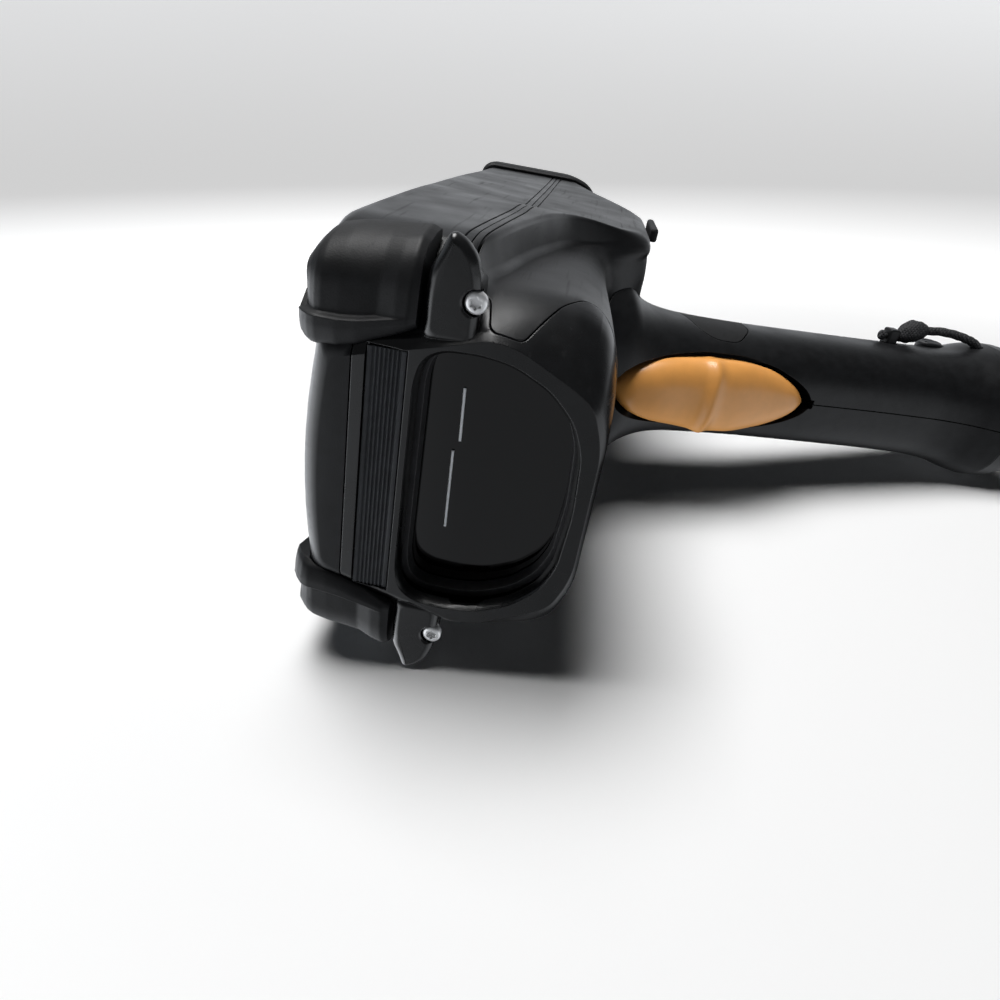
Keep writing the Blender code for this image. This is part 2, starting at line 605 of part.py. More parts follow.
def make_tail(device):
    """The rubber tail cap, with a window for the charging contacts."""
    rings = []
    for row, y, grow in ((-3, 211.5, 1.0), (-3, 213.0, 2.3), (-2, 226.0, 2.5),
                         (-2, 229.6, 1.6), (-2, 230.8, -0.8)):
        rings.append(body_ring(BODY_STATIONS[row], grow * MM, y))
    cap = piece("tail_cap", loft(rings), device, (0.013, 0.013, 0.014), 0.6)
    opening = tool("contact_window", box(
        Vector((-21, 227, -37)) * MM, Vector((21, 240, -29)) * MM), device)
    cut(cap, tool("tail_seat", body_skin(GAP), device), opening)
    piece("dock_contacts", box(
        Vector((-20.6, 228.0, -36.6)) * MM, Vector((20.6, 229.6, -29.4)) * MM, 0.3 * MM), device,
        (0.5, 0.4, 0.15), 0.35)


# ---------------------------------------------------------------- inside the body


def make_inside(device):
    y_low, y_high = DISPLAY_Y
    middle_y, half_y = (y_low + y_high) / 2, (y_high - y_low) / 2
    piece("display_window", slab(
        (0, middle_y), DISPLAY_HALF_WIDTH, half_y, 3.7 * MM,
        ((-1.6 * MM, 0.0), (-0.5 * MM, 0.0), (-0.2 * MM, 0.4 * MM))), device,
        (0.01, 0.01, 0.012), 0.06)
    piece("display_module", box(
        (-33 * MM, y_low + 2 * MM, -7.4 * MM), (33 * MM, y_high - 2 * MM, -2.8 * MM), 0.5 * MM),
        device, (0.12, 0.13, 0.15), 0.3)
    piece("main_board", box(
        Vector((-36, 40, -13.6)) * MM, Vector((36, 214, -12)) * MM), device,
        (0.02, 0.12, 0.05), 0.5)
    piece("radio_board", box(
        Vector((-30, 160, -21)) * MM, Vector((22, 208, -17)) * MM, 0.4 * MM), device,
        (0.5, 0.5, 0.52), 0.4, 0.8)
    piece("speaker", turned(
        2, ((-24 * MM, 8 * MM), (-22.8 * MM, 9 * MM), (-18.6 * MM, 9 * MM)), (18 * MM, 60 * MM, 0)),
        device, (0.03, 0.03, 0.03), 0.5)
    piece("status_light", turned(
        2, ((-3.4 * MM, 1.5 * MM), (-0.5 * MM, 1.5 * MM), (-0.1 * MM, 1.0 * MM)),
        (26 * MM, 21 * MM, 0), 12), device, (0.05, 0.3, 0.08), 0.2)


def key_cap(name, centre, half, device, colour):
    """A key: a rounded cap on a flange that the face plate holds in."""
    levels = (
        (KEY_FLANGE[1], -0.5 * MM), (KEY_FLANGE[0], -0.5 * MM), (KEY_FLANGE[0], 0.0),
        (KEY_RISE - 0.5 * MM, 0.1 * MM), (KEY_RISE, 0.7 * MM),
    )
    body = slab((0, 0), half[0], half[1], 2.2 * MM, levels)
    bmesh.ops.translate(body, verts=body.verts, vec=Vector((centre[0], centre[1], 0)))
    return piece(name, body, device, colour, 0.45, origin=(centre[0], centre[1], 0))


def key_places():
    places = []
    for row, y in enumerate(KEY_ROWS):
        for column, x in enumerate(KEY_COLUMNS):
            places.append(("key_" + KEY_NAMES[row][column], (x * MM, y * MM)))
    places.append(("key_power", (SIDE_KEY_X, NAV_CENTRE[1])))
    places.append(("key_menu", (-SIDE_KEY_X, NAV_CENTRE[1])))
    return places


def make_keypad(device):
    half = (KEY_SIZE[0] / 2, KEY_SIZE[1] / 2)
    middle_y = (KEYPAD_Y[0] + KEYPAD_Y[1]) / 2
    half_y = (KEYPAD_Y[1] - KEYPAD_Y[0]) / 2
    plate = piece("keypad_plate", slab(
        (0, middle_y), KEYPAD_HALF_WIDTH - GAP, half_y - GAP, 5.7 * MM,
        ((FACE_PLATE[1], 0.0), (FACE_PLATE[0], 0.0))), device, BLACK, 0.5)
    for name, centre in key_places():
        key_cap(name, centre, half, device, (0.1, 0.1, 0.11))
        cut(plate, tool("hole_" + name, slab(
            centre, half[0] + GAP, half[1] + GAP, 2.4 * MM,
            ((-8 * MM, 0.0), (4 * MM, 0.0))), device))
    centre = (NAV_CENTRE[0], NAV_CENTRE[1], 0)
    cut(plate, tool("nav_hole", turned(
        2, ((-8 * MM, NAV_RADIUS + GAP), (4 * MM, NAV_RADIUS + GAP)), centre, 28), device))
    ring = piece("nav_ring", turned(
        2, ((KEY_FLANGE[1], NAV_RADIUS + 0.6 * MM), (KEY_FLANGE[0], NAV_RADIUS + 0.6 * MM),
            (KEY_FLANGE[0], NAV_RADIUS), (KEY_RISE - 0.6 * MM, NAV_RADIUS),
            (KEY_RISE, NAV_RADIUS - 0.8 * MM)), centre, 28), device, (0.1, 0.1, 0.11), 0.4,
        origin=centre)
    cut(ring, tool("scan_key_hole", turned(
        2, ((-8 * MM, SCAN_RADIUS + 0.4 * MM), (4 * MM, SCAN_RADIUS + 0.4 * MM)), centre, 24), device))
    piece("scan_key", turned(
        2, ((KEY_FLANGE[1], SCAN_RADIUS), (KEY_RISE, SCAN_RADIUS),
            (KEY_RISE + 0.5 * MM, SCAN_RADIUS - 0.7 * MM)), centre, 24), device,
        (0.72, 0.42, 0.1), 0.35, origin=centre)
    piece("key_mat", slab(
        (0, middle_y), KEYPAD_HALF_WIDTH, half_y, 3 * MM,
        ((-6.8 * MM, 0.0), (-5.4 * MM, 0.0))), device, (0.2, 0.2, 0.21), 0.8)


# ---------------------------------------------------------------- grip


def grip_loft(stations, grow=0.0):
    return loft([grip_ring(z, x, front, rear, grow=grow) for z, x, front, rear in stations])


def make_grip(device, grip):
    body = tool("grip_seat", body_skin(GAP), device)
    bay_x = BATTERY_HALF[0] + BAY_CLEARANCE
    bay_y = BATTERY_HALF[1] + BAY_CLEARANCE
    bay = tool("battery_bay", slab(
        (0, BATTERY_CENTRE_Y), bay_x, bay_y, 3.6 * MM,
        ((-140 * MM, 0.0), (BATTERY_TOP + 3 * MM, 0.0))), grip)
    slot_rings = []
    for z, half in SLOT_STATIONS:
        corners = ((-half, SLOT_Y[0]), (half, SLOT_Y[0]), (half, SLOT_Y[1]), (-half, SLOT_Y[1]))
        slot_rings.append([Vector((x, y, z)) * MM for x, y in corners])
    slot = tool("trigger_slot", loft(slot_rings), grip)
    channel = tool("switch_channel", box(
        Vector((-6.4, -4, -62.0)) * MM, Vector((6.4, 11, -6)) * MM), grip)
    cable_way = tool("cable_way", box(
        Vector((-6.4, 6, -80)) * MM, Vector((6.4, 12.0, 30)) * MM), grip)
    pin_hole = tool("pin_hole", turned(
        0, ((-16 * MM, PIN_RADIUS + GAP), (16 * MM, PIN_RADIUS + GAP)), TRIGGER_PIVOT), grip)
    band = tool("collar_band", prism(0, COLLAR_SIDE, -60 * MM, 60 * MM), grip)
    cut(band, tool("collar_core", grip_loft(
        COLLAR_STATIONS, -(COLLAR_DEPTH + GAP) / MM), grip))
    latch_hole = tool("latch_hole", turned(
        0, ((8 * MM, 4.4 * MM), (30 * MM, 4.4 * MM)), Vector((0, 9, -106)) * MM), grip)
    lug_low, lug_high = (Vector(corner) * MM for corner in LUG_BOX)
    room = Vector((GAP, GAP, GAP))
    lug_hole = tool("lug_hole", box(lug_low - room, lug_high + room + Vector((20 * MM, 0, 0))), grip)
    cord_hole = tool("cord_hole", tube_along(
        smooth_path([Vector(point) * MM for point in CORD_PATH], 3), CORD_RADIUS + GAP), grip)
    for side, name in ((1, "grip_shell_left"), (-1, "grip_shell_right")):
        shell = piece(name, grip_loft(GRIP_STATIONS), grip, BLACK, 0.42)
        low_x, high_x = sorted((side * GAP / 2, side * 60 * MM))
        half = tool("half_" + name, box((low_x, -60 * MM, -150 * MM), (high_x, 60 * MM, 40 * MM)),
                    grip)
        combine(shell, half, "INTERSECT")
        cut(shell, body, bay, slot, channel, cable_way, pin_hole, band)
        if side > 0:
            cut(shell, latch_hole, lug_hole, cord_hole)


def make_collar(grip):
    """The rubber pad that wraps the back and the sides of the grip's top."""
    collar = piece("grip_collar", grip_loft(COLLAR_STATIONS), grip, (0.01, 0.01, 0.011), 0.75)
    drawn = offset_ring(list(COLLAR_SIDE), -GAP / MM)
    combine(collar, tool("collar_keep", prism(0, drawn, -60 * MM, 60 * MM), grip), "INTERSECT")
    cut(collar, tool("collar_bore", grip_loft(COLLAR_STATIONS, -COLLAR_DEPTH / MM), grip))


def make_trigger(grip):
    rings = []
    for z, half_x, front, shoulder, back in TRIGGER_STATIONS:
        crown = front + (shoulder - front) * 0.28
        outline = (
            (0.0, front), (half_x * 0.5, front + (crown - front) * 0.45),
            (half_x * 0.85, crown + (shoulder - crown) * 0.35), (half_x, shoulder),
            (half_x * 0.96, (shoulder * 3 + back) / 4), (half_x * 0.9, back), (0.0, back),
        )
        rings.append([Vector((x, y, z)) * MM for x, y in mirrored(list(outline))])
    trigger = piece("trigger", loft(rings), grip, (0.72, 0.42, 0.12), 0.28, origin=TRIGGER_PIVOT)
    boss = tool("trigger_boss", turned(
        0, ((-8.0 * MM, 4.2 * MM), (8.0 * MM, 4.2 * MM)), TRIGGER_PIVOT), grip)
    web = tool("trigger_web", box(
        Vector((-8.0, -12, -8.6)) * MM, Vector((8.0, -5, -1.0)) * MM), grip)
    nub = tool("trigger_nub", box(
        Vector((-3, -10, -44)) * MM, Vector((3, -4.2, -37)) * MM), grip)
    gap = tool("spring_gap", box(
        Vector((-4.6, -9.4, -12)) * MM, Vector((4.6, 4, 3)) * MM), grip)
    bore = tool("trigger_bore", turned(
        0, ((-12 * MM, PIN_RADIUS + GAP), (12 * MM, PIN_RADIUS + GAP)), TRIGGER_PIVOT), grip)
    for part in (boss, web, nub):
        combine(trigger, part, "UNION")
    cut(trigger, gap, bore)
    piece("trigger_pin", turned(
        0, ((-15 * MM, PIN_RADIUS), (15 * MM, PIN_RADIUS)), TRIGGER_PIVOT, 16), grip, STEEL, 0.3, 1.0)
    turns, steps, wire = 3.5, 12, 0.5 * MM
    radius = PIN_RADIUS + GAP + wire + 0.2 * MM
    points = []
    for i in range(int(turns * steps) + 1):
        angle = 2 * math.pi * i / steps + math.pi / 2
        x = (-3.4 + 6.8 * i / (turns * steps)) * MM
        points.append(TRIGGER_PIVOT + Vector((x, radius * math.cos(angle), radius * math.sin(angle))))
    piece("trigger_spring", tube_along(points, wire, 6), grip, STEEL, 0.3, 1.0)
    piece("trigger_switch", box(
        Vector((-5.6, 1.8, -48)) * MM, Vector((5.6, 8.6, -34)) * MM, 0.4 * MM), grip,
        (0.04, 0.04, 0.05), 0.5)


def make_battery(grip):
    half_x, half_y = BATTERY_HALF
    piece("battery_pack", slab(
        (0, BATTERY_CENTRE_Y), half_x, half_y, 3.2 * MM,
        ((-121.2 * MM, 0.0), (BATTERY_TOP - 0.6 * MM, 0.0), (BATTERY_TOP, 0.6 * MM))), grip,
        (0.03, 0.03, 0.034), 0.45)
    piece("battery_cap", grip_loft(CAP_STATIONS), grip, BLACK, 0.4)
    piece("battery_latch", turned(
        0, ((13.4 * MM, 4.0 * MM), (18.0 * MM, 4.0 * MM), (18.6 * MM, 3.2 * MM)),
        Vector((0, 9, -106)) * MM), grip, (0.06, 0.06, 0.065), 0.45,
        origin=Vector((13.4, 9, -106)) * MM)
    piece("battery_contacts", box(
        Vector((-8, -4, -65.2)) * MM, Vector((8, 5, -63.4)) * MM), grip, (0.6, 0.45, 0.15), 0.3, 1.0)


def make_lanyard(grip):
    """A short cord held at both ends on the grip's left side: by its knot and in the base."""
    low, high = (Vector(corner) * MM for corner in LUG_BOX)
    lug = piece("lanyard_lug", box(low, high, 0.7 * MM), grip, BLACK, 0.4)
    neck_x, neck_y, neck_z, _ = KNOT_RINGS[3]
    cut(lug, tool("lug_bore", turned(
        2, ((-8 * MM, 1.1 * MM), (3 * MM, 1.1 * MM)), Vector((neck_x, neck_y, neck_z)) * MM, 12), grip))
    rings = []
    for x, y, z, radius in KNOT_RINGS:
        rings.append(ring_points(Vector((x, y, z)) * MM, radius * MM, 2, 14))
    piece("lanyard_knot", loft(rings), grip, (0.02, 0.02, 0.022), 0.7)
    path = smooth_path([Vector(point) * MM for point in CORD_PATH], 3)
    piece("lanyard_loop", tube_along(path, CORD_RADIUS), grip, (0.02, 0.02, 0.022), 0.7)


# ---------------------------------------------------------------- the whole


def lay_down(device):
    """Stands the lying device on z = 0 with the middle of its box over the origin."""
    device.rotation_euler = (0, LYING_TURN, 0)
    graph = bpy.context.evaluated_depsgraph_get()
    graph.update()
    points = []
    for item in bpy.data.objects:
        if item.type == "MESH" and not item.hide_render:
            shown = item.evaluated_get(graph)
            points += [shown.matrix_world @ vert.co for vert in shown.data.vertices]
    low = Vector(min(point[i] for point in points) for i in range(3))
    high = Vector(max(point[i] for point in points) for i in range(3))
    middle = (low + high) / 2
    device.location = (-middle.x, -middle.y, -low.z)


def main():
    clear_scene()
    device = empty("device")
    grip = empty("grip_frame", device, GRIP_ORIGIN)
    grip.rotation_euler = (GRIP_TILT, 0, 0)
    make_top_housing(device)
    bezel_region = make_bezel(device)
    make_bottom_housing(device, bezel_region)
    make_window(device)
    make_bumpers(device)
    make_screws(device)
    make_feet(device)
    make_tail(device)
    make_inside(device)
    make_keypad(device)
    make_grip(device, grip)
    make_collar(grip)
    make_trigger(grip)
    make_battery(grip)
    make_lanyard(grip)
    lay_down(device)


main()
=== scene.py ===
"""The looks of a rugged handheld computer with a pistol grip, lying on its side.

Shapes are in millimetres. Pieces of the body are made in the device's design frame
(+X its left, +Y its rear, +Z the side that the display faces, z = 0 the top face and
y = 0 the front of the nose), and pieces of the grip in the grip's frame, whose -Z runs
down the grip. DEVICE and GRIP place those two frames in the scene, where it lies on a table.
"""

import json
import math

import bmesh
import bpy
from mathutils import Matrix, Vector


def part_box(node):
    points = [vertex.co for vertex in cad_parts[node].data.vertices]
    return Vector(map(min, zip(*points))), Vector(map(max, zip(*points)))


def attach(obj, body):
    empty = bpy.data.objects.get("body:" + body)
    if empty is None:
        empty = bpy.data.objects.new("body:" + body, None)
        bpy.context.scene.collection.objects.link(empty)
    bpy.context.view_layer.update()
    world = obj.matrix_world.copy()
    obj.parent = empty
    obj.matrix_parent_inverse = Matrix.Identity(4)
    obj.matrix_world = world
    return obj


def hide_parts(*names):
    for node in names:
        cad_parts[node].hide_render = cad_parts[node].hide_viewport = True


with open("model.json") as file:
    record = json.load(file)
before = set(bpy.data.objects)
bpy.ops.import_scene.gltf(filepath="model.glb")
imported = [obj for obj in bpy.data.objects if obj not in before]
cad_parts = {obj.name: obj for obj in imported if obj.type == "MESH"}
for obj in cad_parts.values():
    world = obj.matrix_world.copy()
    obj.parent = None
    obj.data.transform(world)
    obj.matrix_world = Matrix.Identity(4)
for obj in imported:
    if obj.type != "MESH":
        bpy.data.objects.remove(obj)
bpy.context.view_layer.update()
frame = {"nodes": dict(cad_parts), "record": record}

MM = 0.001
GAP = 0.3
WALL = 2.4

# ---------------------------------------------------------------- places

LYING_TURN = math.radians(8.75 - 90)
BOARD_CENTRE = Vector((0, 127, -12.8))
GRIP_TILT = math.radians(14)
GRIP_ORIGIN = Vector((0, 100, -66))


def device_place():
    """The design frame as it lies in the scene, found from where the main board is."""
    low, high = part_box("main_board")
    turn = Matrix.Rotation(LYING_TURN, 4, "Y")
    origin = (low + high) / 2 - turn @ (BOARD_CENTRE * MM)
    return Matrix.Translation(origin) @ turn @ Matrix.Scale(MM, 4)


DEVICE = device_place()
GRIP = DEVICE @ Matrix.Translation(GRIP_ORIGIN) @ Matrix.Rotation(GRIP_TILT, 4, "X")
BODIES = frame["record"]["behaviour"]["bodies"]
BODY_OF = {node: body for body, nodes in BODIES.items() for node in nodes}

# ---------------------------------------------------------------- shapes, as in the CAD

# Rows of (y, top width, top z, edge radius, side foot x and z, ledge x and z, flank x and z,
# corner x and z, floor half width, floor z).
BODY_ROWS = (
    (0, 22, -5, 2, 27.5, -26, 30.2, -34.5, 29.6, -39.5, 24.5, -50, 14, -57.2),
    (1.4, 25, -2.8, 3, 29.5, -26.4, 31.5, -34, 30.8, -39.5, 26, -50.2, 16, -58),
    (4, 29.5, -1, 4, 32, -26.8, 33, -33.2, 32.6, -40, 29, -50.4, 18, -58.2),
    (8, 36.2, -0.2, 4.5, 36.2, -27.4, 34.6, -32, 34.8, -40, 32.4, -50.5, 21, -58.3),
    (12, 40.4, 0, 5, 40.4, -27.8, 35.8, -31, 36.1, -40, 34.8, -50.5, 23, -58.3),
    (17, 42.9, 0, 5, 42.9, -28.4, 36.5, -30.5, 36.9, -40, 36, -50.5, 24, -58.2),
    (25, 43.8, 0, 5, 43.8, -30.4, 36.6, -32, 37, -41, 36, -50.5, 24, -57.9),
    (46, 44.1, 0, 5, 44.1, -33.8, 36.5, -35, 36.8, -43, 35.6, -50.2, 24, -57),
    (66, 44.2, 0, 5, 44.2, -38, 36.4, -40, 36.5, -45.5, 35.2, -49.8, 24, -56.2),
    (78, 44.2, 0, 5, 43.6, -42.5, 36.4, -44.5, 36.4, -47.5, 35.4, -50.4, 24, -55.8),
    (85, 44.15, 0, 5, 42.6, -48.5, 37, -51, 36.4, -52, 35, -54.5, 24, -57.6),
    (90, 44.1, 0, 5, 41, -56.5, 38.2, -59, 37, -60.4, 35, -61.4, 26, -62),
    (96, 44.05, 0, 5, 40.2, -61, 38.8, -63.8, 37.4, -65, 35.4, -65.6, 30, -65.7),
    (104, 44, 0, 5, 40, -62, 38.8, -64.6, 37.4, -65.6, 35.4, -66, 30, -66),
    (146, 43.4, 0, 5, 40, -61.6, 38.8, -64.4, 37.4, -65.6, 35.4, -66, 30, -66),
    (160, 43, 0, 5, 40.6, -57, 38.6, -60.6, 36.6, -62.2, 33.6, -63, 28, -63),
    (185, 42.4, 0, 5, 41.4, -46, 39.4, -51, 36.8, -53.6, 33, -54.8, 26, -55),
    (210, 42, 0, 5, 41.8, -38, 40, -43.6, 37, -46.6, 33, -47.8, 26, -48),
    (224, 41.6, 0, 5, 41.4, -35.4, 39.6, -40.6, 36.6, -43.4, 32.6, -44.6, 26, -44.8),
    (227.6, 39, -1.6, 5, 38.8, -34, 36.8, -38.6, 34, -41.2, 30.4, -42.2, 24, -42.4),
)
# The front of the top face falls away from its middle: by how much at CROWN_X, and the
# places between which that fades out.
CROWN_DROP, CROWN_X, CROWN_Y = 1.7, 22, (8, 24)
CROWN_SHARES = (0, 0.2, 0.4, 0.6, 0.8, 1)
# How far each corner of the half outline is rounded (None: by the row's edge radius), and
# with how many points.
BODY_ROUNDING = (
    (0, 1), (0, 1), (0, 1), (0, 1), (0, 1), (None, 9), (1.2, 4), (1.8, 5), (5, 6), (4, 6), (5, 6),
    (5, 6), (0, 1),
)
SEAM = ((-20, -26.5), (17, -26.5), (62, -30.5), (260, -30.5))
BEZEL_SIDE = (
    (-20, -10.6), (11, -10.6), (11, -27), (9, -32.4), (1.2, -33.8), (1.2, -40),
    (6, -42.5), (12, -45.5), (16.5, -49), (17.5, -52), (15, -55.5), (10, -58),
    (8, -70), (-20, -70),
)
EAR_FRONT = (
    (28, -22.3), (36.3, -22.3), (40.1, -22.6), (43.3, -24.2), (45.9, -25.2), (46.3, -26.2),
    (45.4, -28.2), (43, -30.4), (39.2, -31.6), (28, -32),
)
EAR_RELIEF = ((39, 12), (39, 8), (41, 3), (52, 3), (52, 12))
WINDOW_FRONT = (
    (0, -22.6), (20, -22.6), (24.2, -23.6), (26.2, -26.6), (26.6, -33), (25.8, -39),
    (22.6, -45.8), (17.8, -50.6), (12, -53), (0, -53.8),
)
WINDOW_ROUNDING = (2.4, 5)
GROOVE_Y, GROOVE_SHIFT, GROOVE_DEPTH, GROOVE_WIDTH = (12, 214), 1.7, 0.45, 0.5
SIDE_REACH = 70
BROW_SLOTS, BROW_SLOT_Y, BROW_SLOT_HALF = (-12, -4, 4, 12), 19.4, (2.9, 0.55)
LAMP_PLACE, LAMP_HOLE = (26, 21, 0), 1.8
BELLY_SCREWS = ((22, 141, -66), (21, 200, -50.6))
BELLY_CABLE_WAY = ((-9, 106, -72), (9, 112, -58))
# The ear's levels: (y, how much smaller).
EAR_LEVELS = ((0.3, 1.6), (0.4, 1.2), (0.7, 0.7), (1.2, 0.25), (1.9, 0), (8.6, 0))
STRIP_RECESS = ((-25.7, -5, -20.6), (25.7, 1.3, -12.9))
STRIP_END, STRIP_FIRST_RIB, STRIP_LAST_RIB, RIB_PITCH = 25.4, -14.2, -19.4, 0.8
# Painted glints on the scan window: two thin near-white rods, (x, z) from end to end, standing for
# where the pane's edge reflects the white table.
GLINT_LINES = (((17.9, -30.1), (7, -30.5)), ((4.7, -29.4), (-12.8, -29.8)))
GLINT_Y, GLINT_RADIUS = 8.55, 0.28
# Screw heads: (distance along the axis, radius).
BEZEL_HEAD = (
    (0.8, 1.2), (0.86, 1.55), (1.02, 1.85), (1.3, 2), (2.4, 2), (2.4, 1.1), (4.2, 1.1),
)
BELLY_HEAD = ((0.5, 2.2), (0.56, 2.5), (0.75, 2.75), (1.4, 2.75), (1.45, 2.4))
CONTACT_RECESS = ((-21, 227, -37), (21, 240, -29))
TAIL_RIBS, TAIL_RIB_GROW, TAIL_GROOVE_GROW = (216, 219.2, 222.4), 2.05, 1.5
# A bumper from above: (x, y, share of the side's draw-in, of the corner's flare, of the recess).
BUMPER_PLAN = (
    (23.4, 1.6, 0, 0, 0), (24.6, 0.2, 0, 0, 0), (27.4, -0.7, 0, 0, 0),
    (28.9, -0.7, 0.05, 0, 0), (29.9, -0.65, 0.1, 0.05, 1), (35, -0.3, 0.3, 0.3, 1),
    (38.2, 0.7, 0.55, 0.6, 1), (40.4, 2.4, 0.75, 0.9, 0.9), (42.2, 5, 0.9, 0.9, 0.75),
    (43.4, 8.4, 1, 0.6, 0.6), (44, 11.8, 1, 0.5, 0.5), (44.2, 14.4, 1, 0.45, 0.4),
    (43.9, 15.4, 1, 0.45, 0.3), (43, 15.7, 1, 0.4, 0.2),
)
BUMPER_BACK = ((36, 15.7), (31, 13), (25, 8))
# Its levels: (z, side draw-in, front draw-in, shift of the inner end, recess, flare).
BUMPER_LEVELS = (
    (0.7, 5.6, 5, 0, 1.5, 0), (-0.5, 3.9, 3, 0, 1.5, 0),
    (-2, 2.4, 1.2, 0, 1.5, 0), (-3.4, 1.6, 0.5, 0, 1.5, 0),
    (-7.4, 0.6, 0.1, 0, 1.5, 0), (-11, 0.2, 0, 1, 1.5, 0),
    (-14.4, 0, 0, 2.8, 1.5, 0.4), (-17.6, 0, 0, 4.2, 0.3, 1.1),
    (-20, 0, 0, 5.4, 0, 1.7), (-21.4, 0.4, 0.8, 6, 0, 1.3),
)
# The outer part's top lies lower than the inner part's by this much, fading out by the depth.
BUMPER_DROP, BUMPER_DROP_DEPTH = 1.2, -7.4
BUMPER_END_X = 33

# Rows of (z, half width, front y, rear y) in the grip's frame.
GRIP_ROWS = (
    (16, 31, -21, 36), (6, 29, -21, 34), (1, 23.4, -20, 30),
    (-3, 20.6, -19, 27), (-8, 18.8, -17.6, 24.8), (-15, 17.8, -16.4, 22.8),
    (-26, 17.3, -15.6, 21), (-45, 17, -14.8, 19.8), (-75, 17, -14.6, 19.4),
    (-98, 17.2, -15.4, 19.6), (-110, 18.2, -17.6, 20.4), (-117, 20, -20.6, 21.8),
    (-121.6, 20.9, -22.6, 22.8),
)
CAP_ROWS = (
    (-121.9, 20.9, -22.6, 22.8), (-127, 20.8, -22.8, 23), (-130, 20, -22, 22.2),
    (-131.36, 18.4, -20.4, 20.6),
)
GRIP_SQUARENESS = 2.5
GRIP_SEGMENTS = 96
BAY_PLACE, BAY_HALF, BAY_TOP = (0, 2.4), (11.6, 12.6), -63
SWITCH_POCKET = ((-6.4, -4, -62), (6.4, 11, -6))
CABLE_WAY = ((-6.4, 6, -80), (6.4, 12, 30))
# Rows of (z, half width, front y, shoulder y, back y) in the grip's frame.
TRIGGER_ROWS = (
    (6.6, 1.8, -17.6, -15.8, -14.4), (4.8, 4.6, -19.6, -16.2, -14),
    (1, 7.3, -21.8, -16.6, -12.6), (-6, 9.4, -22.7, -16.2, -9.4),
    (-14, 10.4, -22.3, -15.6, -9), (-18, 10.8, -22.5, -16, -9),
    (-20.2, 11.2, -23.9, -17.2, -9), (-21, 11.4, -24.4, -17.6, -9),
    (-21.8, 11.3, -24, -17.2, -9), (-24.4, 11, -22.7, -16, -9),
    (-30, 10.9, -21.9, -15.4, -9), (-40, 9.2, -19.6, -13.4, -9),
    (-47, 6.6, -17.8, -12.6, -9), (-51.6, 4, -15.8, -11.8, -9.2),
    (-53.8, 1.6, -13.8, -11.4, -9.6),
)
PIVOT = (0, -5, -4.5)
PIN_RADIUS = 1.5
SPRING_TURNS, SPRING_WIRE, SPRING_HALF = 3.5, 0.5, 3.4
SLOT_ROWS = (
    (12, 3.4), (8.2, 3.4), (6, 5.8), (1.8, 8.2), (-6, 10.2), (-14, 11.2), (-21, 11.8),
    (-30, 11.7), (-41, 10), (-48.4, 7.4), (-52.8, 5), (-55.4, 2.8), (-55.8, 1.4),
)
SLOT_Y = (-40, 1.2)
COLLAR_SIDE = (
    (60, -15), (6, -16.2), (-5.5, -17.8), (-9.2, -22.2), (-9.4, -31), (-2, -36.4),
    (60, -40),
)
COLLAR_Z = (-8, -75)
COLLAR_DEPTH = 1.8
# Rows of (z, radius, x, y): a stopper, the cord through the lug's bore and the knot.
KNOT_ROWS = (
    (-85.4, 1, 19, 6.8), (-85.8, 1.6, 19, 6.8), (-87, 1.6, 19, 6.8), (-87.2, 0.8, 19, 6.8),
    (-91.6, 0.8, 19, 6.8), (-91.9, 1.7, 19.4, 6.8), (-93, 3, 20.4, 6.8), (-95.6, 3.9, 21.2, 6.8),
    (-98.2, 3.4, 21.6, 6.6), (-100.2, 2.2, 21.9, 6.3), (-100.8, 1.2, 22, 6.2),
)
LUG_BORE, LUG_BORE_PLACE = 1.1, (19, 6.8, 0)
CORD_PATH = (
    (22.2, 6, -101.2), (22.8, 4.8, -105), (22.4, 3.4, -111), (20.8, 1.8, -116.4),
    (17, 0.9, -119.2),
)
CORD_RADIUS = 1.4
LUG_BOX = ((14.6, 4.6, -91.2), (21.4, 9, -87.6))
LATCH = (0, 9, -106)

KEY_COLUMNS = (22.8, 7.6, -7.6, -22.8)
KEY_ROWS = (157, 172.4, 187.8, 203.2)
KEY_HALF = (5.7, 4.8)
KEY_NAMES = (
    ("seven", "eight", "nine", "back"), ("four", "five", "six", "up"),
    ("one", "two", "three", "down"), ("star", "zero", "hash", "enter"),
)
LEGENDS = dict(zip(
    "seven eight nine four five six one two three star zero hash".split(), "789456123*0#"))
KEY_FLANGE = (-3.1, -4.1)
KEY_CORNER = 2.2
# Levels of (z, how much smaller).
KEY_LEVELS = (
    (KEY_FLANGE[1], -0.5), (KEY_FLANGE[0], -0.5), (KEY_FLANGE[0], 0), (0.55, 0.08),
    (0.95, 0.2), (1.2, 0.42), (1.32, 0.75), (1.37, 1.2), (1.4, 2.2), (1.42, 3.6),
)
LEGEND_SIZE, STAR_SIZE, MARK_HALF = 6.6, 8, 0.06
KEY_MARK_Z, NAV_MARK_Z = 1.42, 1.36
ARROW = ((0, 1.6), (1.5, 0), (0.6, 0), (0.6, -1.5), (-0.6, -1.5), (-0.6, 0), (-1.5, 0))
ARROW_TURNS = {"up": 0, "down": 180, "back": 90, "enter": 90}
NAV_Y = 136
NAV_RADIUS = 11.5
SCAN_RADIUS = 5.6
# The round keys' edges: (z, how much smaller).
NAV_EDGE = (
    (KEY_FLANGE[1], -0.6), (KEY_FLANGE[0], -0.6), (KEY_FLANGE[0], 0), (0.6, 0), (1, 0.15),
    (1.25, 0.45), (1.38, 0.9), (1.4, 1.5),
)
SCAN_EDGE = (
    (KEY_FLANGE[1], 0), (1.3, 0), (1.6, 0.12), (1.8, 0.4), (1.9, 0.9), (1.86, 2.6), (1.8, 5),
)
SIDE_KEY_X = 22.8
KEYPAD_MIDDLE, KEYPAD_HALF = 168, (32, 46)
DISPLAY_MIDDLE, DISPLAY_HALF = 72, (34, 44)
PICTURE_HALF = (28, 37.5)
SCREW_X, SCREW_Z = 35.7, -31


# ---------------------------------------------------------------- shape helpers


